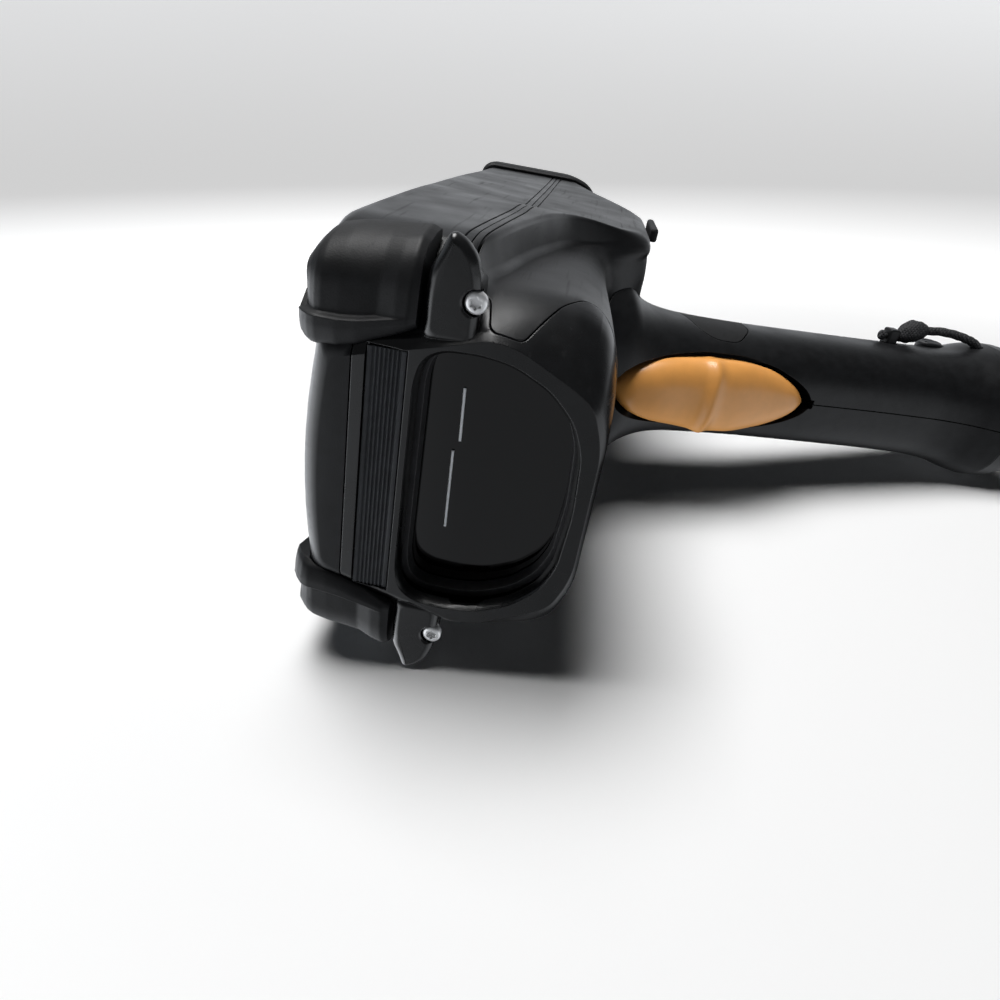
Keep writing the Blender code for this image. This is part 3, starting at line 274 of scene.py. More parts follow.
def read_rows(rows, at):
    """Rows of (key, values...) read between two keys, smoothly and with no overshoot."""
    if rows[0][0] > rows[-1][0]:
        rows = rows[::-1]
    at = min(max(at, rows[0][0]), rows[-1][0])
    i = max(k for k in range(len(rows) - 1) if rows[k][0] <= at)
    span = rows[i + 1][0] - rows[i][0]
    t = (at - rows[i][0]) / span
    made = [at]
    for column in range(1, len(rows[0])):

        def slope(k):
            if not 0 <= k < len(rows) - 1:
                return None
            return (rows[k + 1][column] - rows[k][column]) / (rows[k + 1][0] - rows[k][0])

        def tangent(k):
            before, after = slope(k - 1), slope(k)
            if before is None or after is None:
                return after if before is None else before
            if before * after <= 0:
                return 0.0
            return 2 * before * after / (before + after)

        a, b = rows[i][column], rows[i + 1][column]
        first, last = tangent(i) * span, tangent(i + 1) * span
        made.append(
            a * (2 * t ** 3 - 3 * t ** 2 + 1) + first * (t ** 3 - 2 * t ** 2 + t)
            + b * (3 * t ** 2 - 2 * t ** 3) + last * (t ** 3 - t ** 2)
        )
    return made


def steps(first, last, size):
    """Places from first to last, no further apart than size."""
    count = max(1, math.ceil(abs(last - first) / size - 1e-9))
    return [first + (last - first) * i / count for i in range(count + 1)]


def fillet(before, here, after, reach, count):
    """Points of the round that replaces a corner. The points may have any number of numbers."""
    if count < 2 or reach <= 0:
        return [tuple(here)]
    back = [a - b for a, b in zip(before, here)]
    ahead = [a - b for a, b in zip(after, here)]
    long_back = math.hypot(*back[:2]) or 1e-9
    long_ahead = math.hypot(*ahead[:2]) or 1e-9
    reach = min(reach, 0.49 * long_back, 0.49 * long_ahead)
    cosine = sum(a * b for a, b in zip(back[:2], ahead[:2])) / (long_back * long_ahead)
    turn = math.pi - math.acos(max(-1.0, min(1.0, cosine)))
    pull = 2 / 3 if turn < 0.02 else 4 / 3 * math.tan(turn / 4) / math.tan(turn / 2)
    start = [h + d * reach / long_back for h, d in zip(here, back)]
    end = [h + d * reach / long_ahead for h, d in zip(here, ahead)]
    first = [s + (h - s) * pull for s, h in zip(start, here)]
    last = [e + (h - e) * pull for e, h in zip(end, here)]
    points = []
    for i in range(count):
        t = i / (count - 1)
        u = 1 - t
        points.append(tuple(
            u ** 3 * s + 3 * u * u * t * f + 3 * u * t * t * k + t ** 3 * e
            for s, f, k, e in zip(start, first, last, end)
        ))
    return points


def rounded_ring(points, reach=1.0, count=4):
    """A closed ring with its corners rounded. reach and count may be lists."""
    total = len(points)
    reach = reach if isinstance(reach, list) else [reach] * total
    count = count if isinstance(count, list) else [count] * total
    made = []
    for i, here in enumerate(points):
        made += fillet(points[i - 1], here, points[(i + 1) % total], reach[i], count[i])
    return made


def rounded_path(points, reach, count=4):
    """An open path with its inner corners rounded."""
    made = [tuple(points[0])]
    for before, here, after in zip(points, points[1:], points[2:]):
        made += fillet(before, here, after, reach, count)
    return made + [tuple(points[-1])]


def grown_ring(points, grow):
    """Each point of a ring pushed out by grow, whichever way round the ring goes."""
    area = sum(a[0] * b[1] - b[0] * a[1] for a, b in zip(points, points[1:] + points[:1]))
    side = 1 if area > 0 else -1
    moved = []
    for i, here in enumerate(points):
        before, after = points[i - 1], points[(i + 1) % len(points)]
        normal_1 = Vector((here[1] - before[1], before[0] - here[0])).normalized() * side
        normal_2 = Vector((after[1] - here[1], here[0] - after[0])).normalized() * side
        middle = (normal_1 + normal_2).normalized()
        reach = grow / max(middle.dot(normal_1), 0.5)
        moved.append((here[0] + middle.x * reach, here[1] + middle.y * reach))
    return moved


def mirrored(half):
    """The +X half, first and last on the middle plane, as a closed ring."""
    return list(half) + [(-p[0], *p[1:]) for p in reversed(half[1:-1])]


def loft(rings):
    """A closed skin through rings that hold the same number of points."""
    bm = bmesh.new()
    rows = [[bm.verts.new(point) for point in ring] for ring in rings]
    count = len(rings[0])
    for low, high in zip(rows, rows[1:]):
        for i in range(count):
            j = (i + 1) % count
            bm.faces.new((low[i], low[j], high[j]))
            bm.faces.new((low[i], high[j], high[i]))
    bm.faces.new(rows[0][::-1])
    bm.faces.new(rows[-1])
    bmesh.ops.recalc_face_normals(bm, faces=bm.faces)
    return bm


def box(low, high, bevel=0.0):
    bm = bmesh.new()
    bmesh.ops.create_cube(bm, size=1.0)
    low, high = Vector(low), Vector(high)
    for vert in bm.verts:
        vert.co = Vector(vert.co[i] * (high - low)[i] + (low + high)[i] / 2 for i in range(3))
    if bevel:
        bmesh.ops.bevel(bm, geom=bm.edges[:], offset=bevel, segments=4, affect="EDGES",
                        profile=0.5)
    return bm


def raised(axis, along, outline, centre=(0, 0, 0)):
    """An outline in the other two axes as a ring of points, at one place along an axis."""
    ring = []
    for a, b in outline:
        point = [a, b]
        point.insert(axis, along)
        ring.append(Vector(centre) + Vector(point))
    return ring


def circle(radius, segments):
    turns = [2 * math.pi * i / segments for i in range(segments)]
    return [(radius * math.cos(turn), radius * math.sin(turn)) for turn in turns]


def turned(axis, profile, centre=(0, 0, 0), segments=64):
    """A round solid: profile holds (distance along the axis, radius) from end to end."""
    return loft([raised(axis, along, circle(radius, segments), centre)
                 for along, radius in profile])


def prism(axis, outline, low, high, centre=(0, 0, 0)):
    """An outline in the other two axes, drawn out along one axis."""
    return loft([raised(axis, along, outline, centre) for along in (low, high)])


def rod(axis, radius, low, high, centre=(0, 0, 0), segments=40):
    return prism(axis, circle(radius, segments), low, high, centre)


def slab(centre, half, radius, levels, corner_points=9):
    """A rounded rectangle lofted up through levels of (z, how much smaller)."""
    rings = []
    for z, inset in levels:
        corner = max(radius - inset, 0.25)
        ring = []
        for quarter, (sign_x, sign_y) in enumerate(((1, 1), (-1, 1), (-1, -1), (1, -1))):
            for i in range(corner_points):
                angle = math.pi / 2 * (quarter + i / (corner_points - 1))
                ring.append((
                    centre[0] + sign_x * (half[0] - inset - corner) + corner * math.cos(angle),
                    centre[1] + sign_y * (half[1] - inset - corner) + corner * math.sin(angle),
                    z,
                ))
        rings.append(ring)
    return loft(rings)


def smooth_path(points, spans):
    """A Catmull-Rom curve through points, with spans between each two."""
    points = [Vector(p) for p in points]
    ends = [points[0] * 2 - points[1], *points, points[-1] * 2 - points[-2]]
    path = []
    for a, b, c, d in zip(ends, ends[1:], ends[2:], ends[3:]):
        for i in range(spans):
            t = i / spans
            path.append(
                0.5 * (2 * b + (c - a) * t + (2 * a - 5 * b + 4 * c - d) * t * t
                       + (3 * b - 3 * c + d - a) * t ** 3)
            )
    return path + [points[-1]]


def tube_along(path, radius, sides=16, lobes=0, lobe_depth=0.0, twist=0.0):
    """A round wire along a path. With lobes it is laid like a rope, turning by twist per mm."""
    rings, run = [], 0.0
    for i, here in enumerate(path):
        before, after = path[max(i - 1, 0)], path[min(i + 1, len(path) - 1)]
        run += (here - path[max(i - 1, 0)]).length
        along = (after - before).normalized()
        side = along.cross(Vector((0.31, 0.17, 0.93))).normalized()
        up = side.cross(along)
        ring = []
        for k in range(sides):
            turn = 2 * math.pi * k / sides
            reach = radius
            if lobes:
                reach -= lobe_depth * (0.5 - 0.5 * math.cos(lobes * (turn + run * twist)))
            ring.append(here + (side * math.cos(turn) + up * math.sin(turn)) * reach)
        rings.append(ring)
    return loft(rings)


def in_scene(name, data):
    made = bpy.data.objects.new(name, data)
    bpy.context.scene.collection.objects.link(made)
    return made


def evaluated_mesh(holder):
    graph = bpy.context.evaluated_depsgraph_get()
    return bpy.data.meshes.new_from_object(holder.evaluated_get(graph))


def scratch(bm):
    mesh = bpy.data.meshes.new("scratch")
    bm.to_mesh(mesh)
    return in_scene("scratch", mesh)


def carve(bm, keep=(), join=(), cut=()):
    """bm held to the keep solids, joined with the join solids, less the cut solids."""
    target = scratch(bm)
    helpers = [target]
    for operation, others in (("INTERSECT", keep), ("UNION", join), ("DIFFERENCE", cut)):
        for other in others:
            helper = scratch(other)
            helpers.append(helper)
            step = target.modifiers.new("step", "BOOLEAN")
            step.operation = operation
            step.object = helper
            step.solver = "EXACT"
    made = bmesh.new()
    made.from_mesh(evaluated_mesh(target))
    for helper in helpers:
        bpy.data.objects.remove(helper, do_unlink=True)
    bmesh.ops.remove_doubles(made, verts=made.verts, dist=1e-4)
    bmesh.ops.dissolve_degenerate(made, edges=made.edges, dist=1e-4)
    return made


def add(name, bm, place, look, body, replaced=(), sharp=34):
    """A finished piece that rides on a body and stands for the CAD nodes it replaces."""
    bmesh.ops.recalc_face_normals(bm, faces=bm.faces)
    mesh = bpy.data.meshes.new(name)
    bm.to_mesh(mesh)
    bm.free()
    mesh.transform(place)
    mesh.shade_smooth()
    mesh.set_sharp_from_angle(angle=math.radians(sharp))
    mesh.materials.append(look)
    made = in_scene(name, mesh)
    normals = made.modifiers.new("normals", "WEIGHTED_NORMAL")
    normals.keep_sharp = True
    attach(made, body)
    if replaced:
        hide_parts(*replaced)
    return made


def stand_in(node, bm, place, look, sharp=34):
    """A finer piece for one CAD node, on the same body."""
    return add(node + "_skin", bm, place, look, BODY_OF[node], (node,), sharp)


# ---------------------------------------------------------------- materials


def feed(tree, node, inputs):
    """Gives a node's inputs constants or other nodes' outputs."""
    for key, value in inputs.items():
        if isinstance(value, bpy.types.NodeSocket):
            tree.links.new(value, node.inputs[key])
        else:
            node.inputs[key].default_value = value


def shader_node(tree, kind, inputs=None):
    made = tree.nodes.new("ShaderNode" + kind)
    feed(tree, made, inputs or {})
    return made


def calculated(tree, operation, *values):
    made = shader_node(tree, "Math")
    made.operation = operation
    feed(tree, made, dict(enumerate(values)))
    return made.outputs["Value"]


def spread(tree, value, *limits, how="LINEAR"):
    """A value moved from between the first two limits to between the last two."""
    made = shader_node(tree, "MapRange", {"Value": value})
    made.interpolation_type = how
    feed(tree, made, dict(zip(("From Min", "From Max", "To Min", "To Max"), limits)))
    return made.outputs["Result"]


def surface(name, colour, roughness, metallic=0.0, grain=0.02, grain_size=0.25, vary=0.06,
            tint=0.25, wear=0.0, specular=0.5, coat=0.0, edge=0.25):
    """Moulded or painted stuff: grain in mm, uneven gloss, mottled colour and rubbed edges."""
    made = bpy.data.materials.new(name)
    made.use_nodes = True
    tree = made.node_tree
    shader = tree.nodes["Principled BSDF"]
    place = shader_node(tree, "TexCoord").outputs["Object"]

    def noise(size, detail, stretch=(1.0, 1.0, 1.0)):
        mapping = shader_node(tree, "Mapping", {"Vector": place, "Scale": stretch})
        return shader_node(tree, "TexNoise", {
            "Vector": mapping.outputs["Vector"], "Scale": 1 / (size * MM), "Detail": detail,
        }).outputs["Fac"]

    def mixed(share, first, second):
        mix = shader_node(tree, "Mix")
        mix.data_type = "RGBA"
        feed(tree, mix, {"Factor": share, "A": first, "B": second})
        return mix.outputs["Result"]

    def shade_of(times, plus=0.0):
        return (*(min(1.0, c * times + plus) for c in colour), 1.0)

    cloud = spread(tree, noise(14.0, 3.0), 0.3, 0.7, roughness - vary, roughness + vary)
    scratches = spread(tree, noise(1.3, 2.0, (1.0, 0.05, 1.0)), 0.62, 0.8, 0.0, vary * 2)
    shade = mixed(spread(tree, noise(3.0, 4.0), 0.35, 0.65, 0.0, 1.0),
                  shade_of(1 - tint), shade_of(1 + tint))
    bevel = shader_node(tree, "Bevel", {"Radius": edge * MM})
    bevel.samples = 4
    if wear:
        dot = shader_node(tree, "VectorMath")
        dot.operation = "DOT_PRODUCT"
        feed(tree, dot, {0: bevel.outputs["Normal"],
                         1: shader_node(tree, "NewGeometry").outputs["Normal"]})
        rubbed = spread(tree, dot.outputs["Value"], 0.99, 0.85, 0.0, wear)
        shade = mixed(rubbed, shade, shade_of(2.2, 0.015))
    bump = shader_node(tree, "Bump", {
        "Strength": 1.0, "Distance": grain * MM, "Height": noise(grain_size, 3.0),
        "Normal": bevel.outputs["Normal"],
    })
    feed(tree, shader, {
        "Base Color": shade, "Roughness": calculated(tree, "ADD", cloud, scratches),
        "Metallic": metallic, "Specular IOR Level": specular, "Normal": bump.outputs["Normal"],
    })
    if coat:
        feed(tree, shader, {"Coat Weight": coat, "Coat Roughness": 0.08})
    return made


def weave(name, colour, roughness):
    """Braided cord: crossing bands in the bump."""
    made = surface(name, colour, roughness, grain=0.05, grain_size=0.3, vary=0.05)
    tree = made.node_tree
    place = shader_node(tree, "TexCoord").outputs["Object"]
    heights = []
    for turn in (0.7, -0.7):
        mapping = shader_node(tree, "Mapping", {"Vector": place, "Rotation": (0.0, turn, 0.3)})
        heights.append(shader_node(tree, "TexWave", {
            "Vector": mapping.outputs["Vector"], "Scale": 420.0, "Distortion": 0.6,
        }).outputs["Fac"])
    bump = next(node for node in tree.nodes if node.type == "BUMP")
    feed(tree, bump, {"Distance": 0.25 * MM, "Height": calculated(tree, "MAXIMUM", *heights)})
    return made


HOUSING = surface("housing_plastic", (0.0056, 0.006, 0.007), 0.34, wear=0.3, specular=0.25)
LOWER = surface("lower_plastic", (0.005, 0.0053, 0.006), 0.38, wear=0.35, specular=0.35)
BEZEL = surface("bezel_plastic", (0.0045, 0.0047, 0.0053), 0.28, grain=0.006, wear=0.12,
                specular=0.5)
RUBBER = surface("bumper_rubber", (0.0055, 0.0057, 0.0064), 0.52, grain=0.03, grain_size=0.35,
                 wear=0.25, specular=0.22)
GRIP_PLASTIC = surface("grip_plastic", (0.0075, 0.0078, 0.0085), 0.38, grain=0.03,
                       grain_size=0.4, wear=0.3, specular=0.28)
PAD = surface("collar_rubber", (0.0045, 0.0047, 0.0052), 0.62, grain=0.05, grain_size=0.5,
              specular=0.3)
GOLD = surface("trigger_plastic", (0.86, 0.385, 0.095), 0.4, grain=0.004, vary=0.03, tint=0.025,
               wear=0.15, coat=0.15)
ORANGE = surface("scan_key_plastic", (0.6, 0.28, 0.05), 0.36, grain=0.01, tint=0.08, wear=0.2)
KEY = surface("key_rubber", (0.035, 0.036, 0.04), 0.5, grain_size=0.3, wear=0.3)
LEGEND = surface("legend_ink", (0.62, 0.64, 0.66), 0.5, grain=0.004, tint=0.06)
STEEL = surface("bright_steel", (0.85, 0.85, 0.85), 0.32, 0.5, grain=0.004, grain_size=0.5,
                vary=0.08, tint=0.08)
BRASS = surface("plated_contact", (0.75, 0.52, 0.2), 0.28, 1.0, grain=0.003, vary=0.06, tint=0.1)
# Near-white paint for the painted glints on the scan window.
GLINT_WHITE = surface("painted_glint", (0.8, 0.82, 0.84), 0.3, grain=0.004, tint=0.04)
GLASS = surface("scan_glass", (0.004, 0.0026, 0.0028), 0.06, grain=0.0, vary=0.02)
COVER = surface("display_glass", (0.006, 0.006, 0.008), 0.07, grain=0.0, vary=0.02)
SCREEN = surface("display_panel", (0.016, 0.018, 0.022), 0.16, grain=0.0, vary=0.03, tint=0.1)
STRIP = surface("ribbed_strip", (0.013, 0.015, 0.018), 0.5, grain=0.04, grain_size=0.2,
                specular=0.3)
BOARD = surface("circuit_board", (0.02, 0.12, 0.05), 0.5, tint=0.2)
SHIELD = surface("shield_can", (0.5, 0.5, 0.52), 0.38, 1.0, grain=0.01, vary=0.08)
INNER = surface("inner_plastic", (0.02, 0.02, 0.022), 0.5)
LENS = surface("scan_lens", (0.02, 0.02, 0.035), 0.05, grain=0.0, vary=0.02, coat=0.5)
LAMP = surface("status_lamp", (0.05, 0.3, 0.08), 0.2, grain=0.004)
MAT = surface("key_mat", (0.16, 0.16, 0.17), 0.8)
CORD = weave("lanyard_cord", (0.013, 0.013, 0.015), 0.65)

# ---------------------------------------------------------------- body shapes


def crown_drop(x, y):
    """How far the top face has fallen away from its middle."""
    fade = min(max((CROWN_Y[1] - y) / (CROWN_Y[1] - CROWN_Y[0]), 0), 1)
    fade = fade * fade * (3 - 2 * fade)
    return CROWN_DROP * fade * min((x / CROWN_X) ** 2, 1.2)


def body_ring(row, grow=0, y=None):
    """One cross-section of the body, its corners rounded."""
    at_y, top_x, top_z, radius, foot_x, foot_z, ledge_x, ledge_z, *lower = row
    flank_x, flank_z, corner_x, corner_z, floor_x, floor_z = lower
    half = [(top_x * share, top_z - crown_drop(top_x * share, at_y)) for share in CROWN_SHARES]
    half += [
        (foot_x, foot_z), (ledge_x, ledge_z), (flank_x, flank_z), (corner_x, corner_z),
        ((corner_x * 2 + floor_x) / 3 + 0.8, (corner_z + floor_z * 2) / 3 + 0.6),
        (floor_x, floor_z), (0, floor_z),
    ]
    reach = [radius if r is None else r for r, _ in BODY_ROUNDING]
    count = [c for _, c in BODY_ROUNDING]
    ring = grown_ring(mirrored(half), grow)
    reach = [max(r + grow, 0.3) if r else 0 for r in reach + reach[-2:0:-1]]
    ring = rounded_ring(ring, reach, count + count[-2:0:-1])
    return raised(1, at_y if y is None else y, ring)


def body_skin(grow=0, first=0, last=227.6, fine=1):
    """The body, or a stretch of it, grown or shrunk."""
    places = []
    for low, high, size in ((0, 14, 1), (14, 100, 2.5), (100, 210, 6), (210, 227.6, 1.6)):
        a, b = max(low, first), min(high, last)
        if b > a:
            places += [p for p in steps(a, b, size * fine) if not places or p > places[-1]]
    return loft([body_ring(read_rows(BODY_ROWS, y), grow, y) for y in places])


def side_region(outline, reach=1.5, count=5):
    return prism(0, rounded_ring(outline, reach, count), -SIDE_REACH, SIDE_REACH)


def seam_region(above):
    lift = GAP / 2 * (1 if above else -1)
    far = 40 if above else -110
    line = [(y, z + lift) for y, z in SEAM]
    return side_region(line + [(SEAM[-1][0], far), (SEAM[0][0], far)], 12, 6)


def window_loft(levels):
    """The window's outline lofted through (y, grow) levels."""
    outline = mirrored(WINDOW_FRONT)
    return loft([raised(1, y, rounded_ring(grown_ring(outline, grow), *WINDOW_ROUNDING))
                 for y, grow in levels])


def side_groove(shift):
    """A shallow line round both flanks, parallel to the seam."""
    line = [(y, z + shift) for y, z in SEAM]
    low = [(y, z - GROOVE_WIDTH / 2) for y, z in line]
    high = [(y, z + GROOVE_WIDTH / 2) for y, z in reversed(line)]
    band = side_region(low + high, 6, 6)
    return carve(band, cut=[body_skin(-GROOVE_DEPTH, *GROOVE_Y, 1.6)])


def make_top_housing():
    holes = [
        body_skin(-WALL, 16, 221, 1.4),
        box((-70, -20, -60), (70, 11.3, -10.3)),
        slab((0, DISPLAY_MIDDLE), (DISPLAY_HALF[0] + GAP, DISPLAY_HALF[1] + GAP), 4,
             ((-1.9, 0), (5, 0))),
        slab((0, DISPLAY_MIDDLE), (DISPLAY_HALF[0] - 3, DISPLAY_HALF[1] - 4), 2,
             ((-6, 0), (5, 0))),
        slab((0, KEYPAD_MIDDLE), KEYPAD_HALF, 6, ((-6, 0), (5, 0))),
        rod(2, LAMP_HOLE, -6, 5, LAMP_PLACE, 32),
        side_groove(GROOVE_SHIFT),
    ]
    for x in BROW_SLOTS:
        holes.append(slab((x, BROW_SLOT_Y), BROW_SLOT_HALF, 0.54, ((-4, 0), (3, 0)), 6))
    return carve(body_skin(), keep=[seam_region(True)], cut=holes)


def belly_screw_places():
    return [(side * x, y, z) for x, y, z in BELLY_SCREWS for side in (1, -1)]


def make_bottom_housing():
    region = side_region(grown_ring(BEZEL_SIDE, GAP))
    holes = [
        region, body_skin(-WALL, 4, 221, 1.4), box(*BELLY_CABLE_WAY),
        window_loft(((-4, 1.7), (16, 1.7))), side_groove(-GROOVE_SHIFT),
    ]
    for x, y, z in belly_screw_places():
        holes.append(turned(2, ((-8, 3.2), (0.6, 3.2), (1.5, 2.6)), (x, y, z), 40))
    return carve(body_skin(), keep=[seam_region(False)], cut=holes)


def make_bezel():
    joined, holes = [], []
    for side in (1, -1):
        outline = [(side * x, z) for x, z in EAR_FRONT]
        joined.append(loft([raised(1, y, rounded_ring(grown_ring(outline, -inset), 1.2, 5))
                            for y, inset in EAR_LEVELS]))
        holes.append(turned(1, ((-6, 2.7), (0.2, 2.7), (0.7, 2.3), (4.6, 2.3)),
                            (side * SCREW_X, 0, SCREW_Z), 40))
        holes.append(prism(2, [(side * x, y) for x, y in EAR_RELIEF], -36, -18))
    holes += [
        window_loft(((-4, 1.1), (0.2, 0.9), (1, 0.3), (3, 0), (26, -0.8))),
        body_skin(-WALL, 2.6, 40, 1.4),
        box(*STRIP_RECESS),
    ]
    return carve(body_skin(), keep=[side_region(BEZEL_SIDE)], join=joined, cut=holes)


def make_strip():
    """The strip over the window: fine ribs along it between two lips."""
    outline = [(0.4, -13.2), (0.4, -13.9)]
    z = STRIP_FIRST_RIB
    while z > STRIP_LAST_RIB:
        outline += [(0.75, z), (0.75, z - 0.22), (0.45, z - 0.4), (0.45, z - 0.62)]
        z -= RIB_PITCH
    outline += [(0.4, -19.7), (0.4, -20.3), (1, -20.3), (1, -13.2)]
    return prism(0, outline, -STRIP_END, STRIP_END)


def bumper_drop(z, sunk):
    fade = (z - BUMPER_DROP_DEPTH) / (BUMPER_LEVELS[0][0] - BUMPER_DROP_DEPTH)
    return BUMPER_DROP * min(max(fade, 0), 1) * sunk


def make_bumper(side):
    count = len(BUMPER_PLAN)
    rows = [(i, *row) for i, row in enumerate(BUMPER_PLAN)]
    plan = [read_rows(rows, at)[1:] for at in steps(0, count - 1, 0.2)]
    plan += [(*point, 0, 0, 0) for point in BUMPER_BACK]
    first_x = BUMPER_PLAN[0][0]
    rings = []
    for z, side_in, front_in, shift, recess, flare in rounded_path(BUMPER_LEVELS, 0.45):
        ring = []
        for x, y, side_share, corner, sunk in plan:
            inner = max(0, BUMPER_END_X - x) / (BUMPER_END_X - first_x)
            move_x = shift * inner - side_in * side_share + flare * corner
            move_y = front_in * (1 - side_share) + recess * sunk
            ring.append((side * (x + move_x), y + move_y, z - bumper_drop(z, sunk)))
        rings.append(ring)
    return carve(loft(rings), cut=[body_skin(GAP, 0, 60)])


def torx(axis, centre, radius, low, high):
    """A six-lobed driver recess."""
    ring = []
    for i in range(48):
        turn = 2 * math.pi * i / 48
        reach = radius * (0.86 + 0.14 * math.cos(6 * turn))
        ring.append((reach * math.cos(turn), reach * math.sin(turn)))
    return prism(axis, ring, low, high, centre)


def make_tail_cap():
    """The rubber cap: profile holds (y, how far it stands out from the body)."""
    profile = [(211.5, 1), (213, 1.9)]
    for y in TAIL_RIBS:
        profile += [(y, TAIL_RIB_GROW), (y + 0.35, TAIL_GROOVE_GROW),
                    (y + 0.9, TAIL_GROOVE_GROW), (y + 1.25, TAIL_RIB_GROW)]
    profile += [(226, TAIL_RIB_GROW), (229.6, 1.6), (230.8, -0.8)]
    cap = loft([body_ring(read_rows(BODY_ROWS, min(y, 224)), grow, y)
                for y, grow in rounded_path(profile, 0.7)])
    return carve(cap, cut=[
        body_skin(GAP, 180, 227.6), box(*CONTACT_RECESS, 0.6)])


def make_body():
    stand_in("top_housing", make_top_housing(), DEVICE, HOUSING)
    stand_in("bottom_housing", make_bottom_housing(), DEVICE, LOWER)
    stand_in("front_bezel", make_bezel(), DEVICE, BEZEL)
    stand_in("front_strip", make_strip(), DEVICE, STRIP)
    hood = carve(window_loft(((5.4, 1), (8.4, 1.2))),
                 cut=[window_loft(((-1, 0.2), (12, -1.2)))])
    stand_in("window_hood", hood, DEVICE, INNER)
    stand_in("scan_window", window_loft(((8.8, 0.9), (9.2, 1.3), (10.6, 1.3))), DEVICE, GLASS)
    # Painted glints: thin near-white rods across the scan window, where the pane's edge reflects
    # the table.
    for number, (a, b) in enumerate(GLINT_LINES):
        path = [Vector((a[0] + (b[0] - a[0]) * t, GLINT_Y, a[1] + (b[1] - a[1]) * t))
                for t in (0, 0.01, 0.03, 0.25, 0.5, 0.75, 0.97, 0.99, 1)]
        glint_rod = tube_along(path, GLINT_RADIUS, 12)
        add("window_glint_%d" % (number + 1), glint_rod, DEVICE, GLINT_WHITE, "device")
    for side, name in ((1, "left"), (-1, "right")):
        stand_in("bumper_" + name, make_bumper(side), DEVICE, RUBBER)
        centre = (side * SCREW_X, 0, SCREW_Z)
        screw = carve(turned(1, BEZEL_HEAD, centre), cut=[torx(1, centre, 1.15, -2, 2)])
        stand_in("bezel_screw_" + name, screw, DEVICE, STEEL)
    for number, centre in enumerate(belly_screw_places()):
        screw = carve(turned(2, BELLY_HEAD, centre), cut=[torx(2, centre, 1.5, -3, 1.15)])
        add("belly_screw_%d" % (number + 1), screw, DEVICE, STEEL, "device")
    stand_in("tail_cap", make_tail_cap(), DEVICE, RUBBER)


# ---------------------------------------------------------------- display and keys


def legend_place(x, y, z):
    """Where a mark stands on a key: it reads with its top to the front of the device."""
    return DEVICE @ Matrix.Translation((x, y, z)) @ Matrix.Diagonal((-1, -1, 1, 1))


def written(text, size):
    """Letters or numbers as a thin solid, centred, in mm."""
    curve = bpy.data.curves.new("legend", "FONT")
    curve.body = text
    curve.size = size
    curve.extrude = MARK_HALF
    curve.resolution_u = 4
    curve.align_x = "CENTER"
    curve.align_y = "CENTER"
    holder = in_scene("legend", curve)
    bm = bmesh.new()
    bm.from_mesh(evaluated_mesh(holder))
    bpy.data.objects.remove(holder, do_unlink=True)
    bmesh.ops.remove_doubles(bm, verts=bm.verts, dist=1e-3)
    return bm


def drawn(outline):
    return prism(2, outline, -MARK_HALF, MARK_HALF)


def turned_outline(outline, degrees):
    c, s = math.cos(math.radians(degrees)), math.sin(math.radians(degrees))
    return [(x * c - y * s, x * s + y * c) for x, y in outline]


def make_keys():
    places = []
    for row, y in enumerate(KEY_ROWS):
        for column, x in enumerate(KEY_COLUMNS):
            places.append((KEY_NAMES[row][column], (x, y)))
    places += [("power", (SIDE_KEY_X, NAV_Y)), ("menu", (-SIDE_KEY_X, NAV_Y))]
    holes = []
    for name, centre in places:
        node = "key_" + name
        stand_in(node, slab(centre, KEY_HALF, KEY_CORNER, KEY_LEVELS), DEVICE, KEY)
        holes.append(slab(centre, (KEY_HALF[0] + GAP, KEY_HALF[1] + GAP), 2.4,
                          ((-8, 0), (-0.9, 0), (-0.5, -0.35), (4, -0.35))))
        if name in LEGENDS:
            mark = written(LEGENDS[name], STAR_SIZE if name == "star" else LEGEND_SIZE)
        elif name in ARROW_TURNS:
            mark = drawn(turned_outline(ARROW, ARROW_TURNS[name]))
        elif name == "power":
            mark = carve(drawn(circle(1.9, 40)), cut=[rod(2, 1.35, -1, 1)])
        else:
            mark = drawn(((-2.2, -1.4), (2.2, -1.4), (2.2, 1.4), (-2.2, 1.4)))
            mark = carve(mark, cut=[box((-1.6, -0.35, -1), (1.6, 0.35, 1))])
        add(node + "_mark", mark, legend_place(*centre, KEY_MARK_Z), LEGEND,
            BODY_OF[node], sharp=30)
    holes.append(turned(2, ((-8, NAV_RADIUS + GAP), (-0.9, NAV_RADIUS + GAP),
                            (-0.5, NAV_RADIUS + GAP + 0.35), (4, NAV_RADIUS + 0.65)),
                        (0, NAV_Y, 0), 96))
    half = (KEYPAD_HALF[0] - GAP, KEYPAD_HALF[1] - GAP)
    plate = slab((0, KEYPAD_MIDDLE), half, 5.7, (
        (-2.6, 0), (-0.8, 0), (-0.6, 0.12), (-0.5, 0.4)))
    stand_in("keypad_plate", carve(plate, cut=holes), DEVICE, HOUSING)


def make_navigation():
    centre = (0, NAV_Y, 0)
    inner = SCAN_RADIUS + 0.4
    ring = turned(2, [(z, NAV_RADIUS - inset) for z, inset in NAV_EDGE] + [(1.1, inner + 0.6)],
                  centre, 96)
    bore = turned(2, ((-8, inner), (0.7, inner), (1.2, inner + 0.5), (4, inner + 0.6)), centre, 96)
    stand_in("nav_ring", carve(ring, cut=[bore]), DEVICE, KEY)
    for number, degrees in enumerate((0, 90, 180, 270)):
        mark = drawn(turned_outline(((0, 9.6), (1.1, 8.2), (-1.1, 8.2)), degrees))
        add("nav_mark_%d" % (number + 1), mark, legend_place(0, NAV_Y, NAV_MARK_Z), LEGEND,
            BODY_OF["nav_ring"], sharp=30)
    key = turned(2, [(z, SCAN_RADIUS - inset) for z, inset in SCAN_EDGE], centre, 72)
    stand_in("scan_key", key, DEVICE, ORANGE)


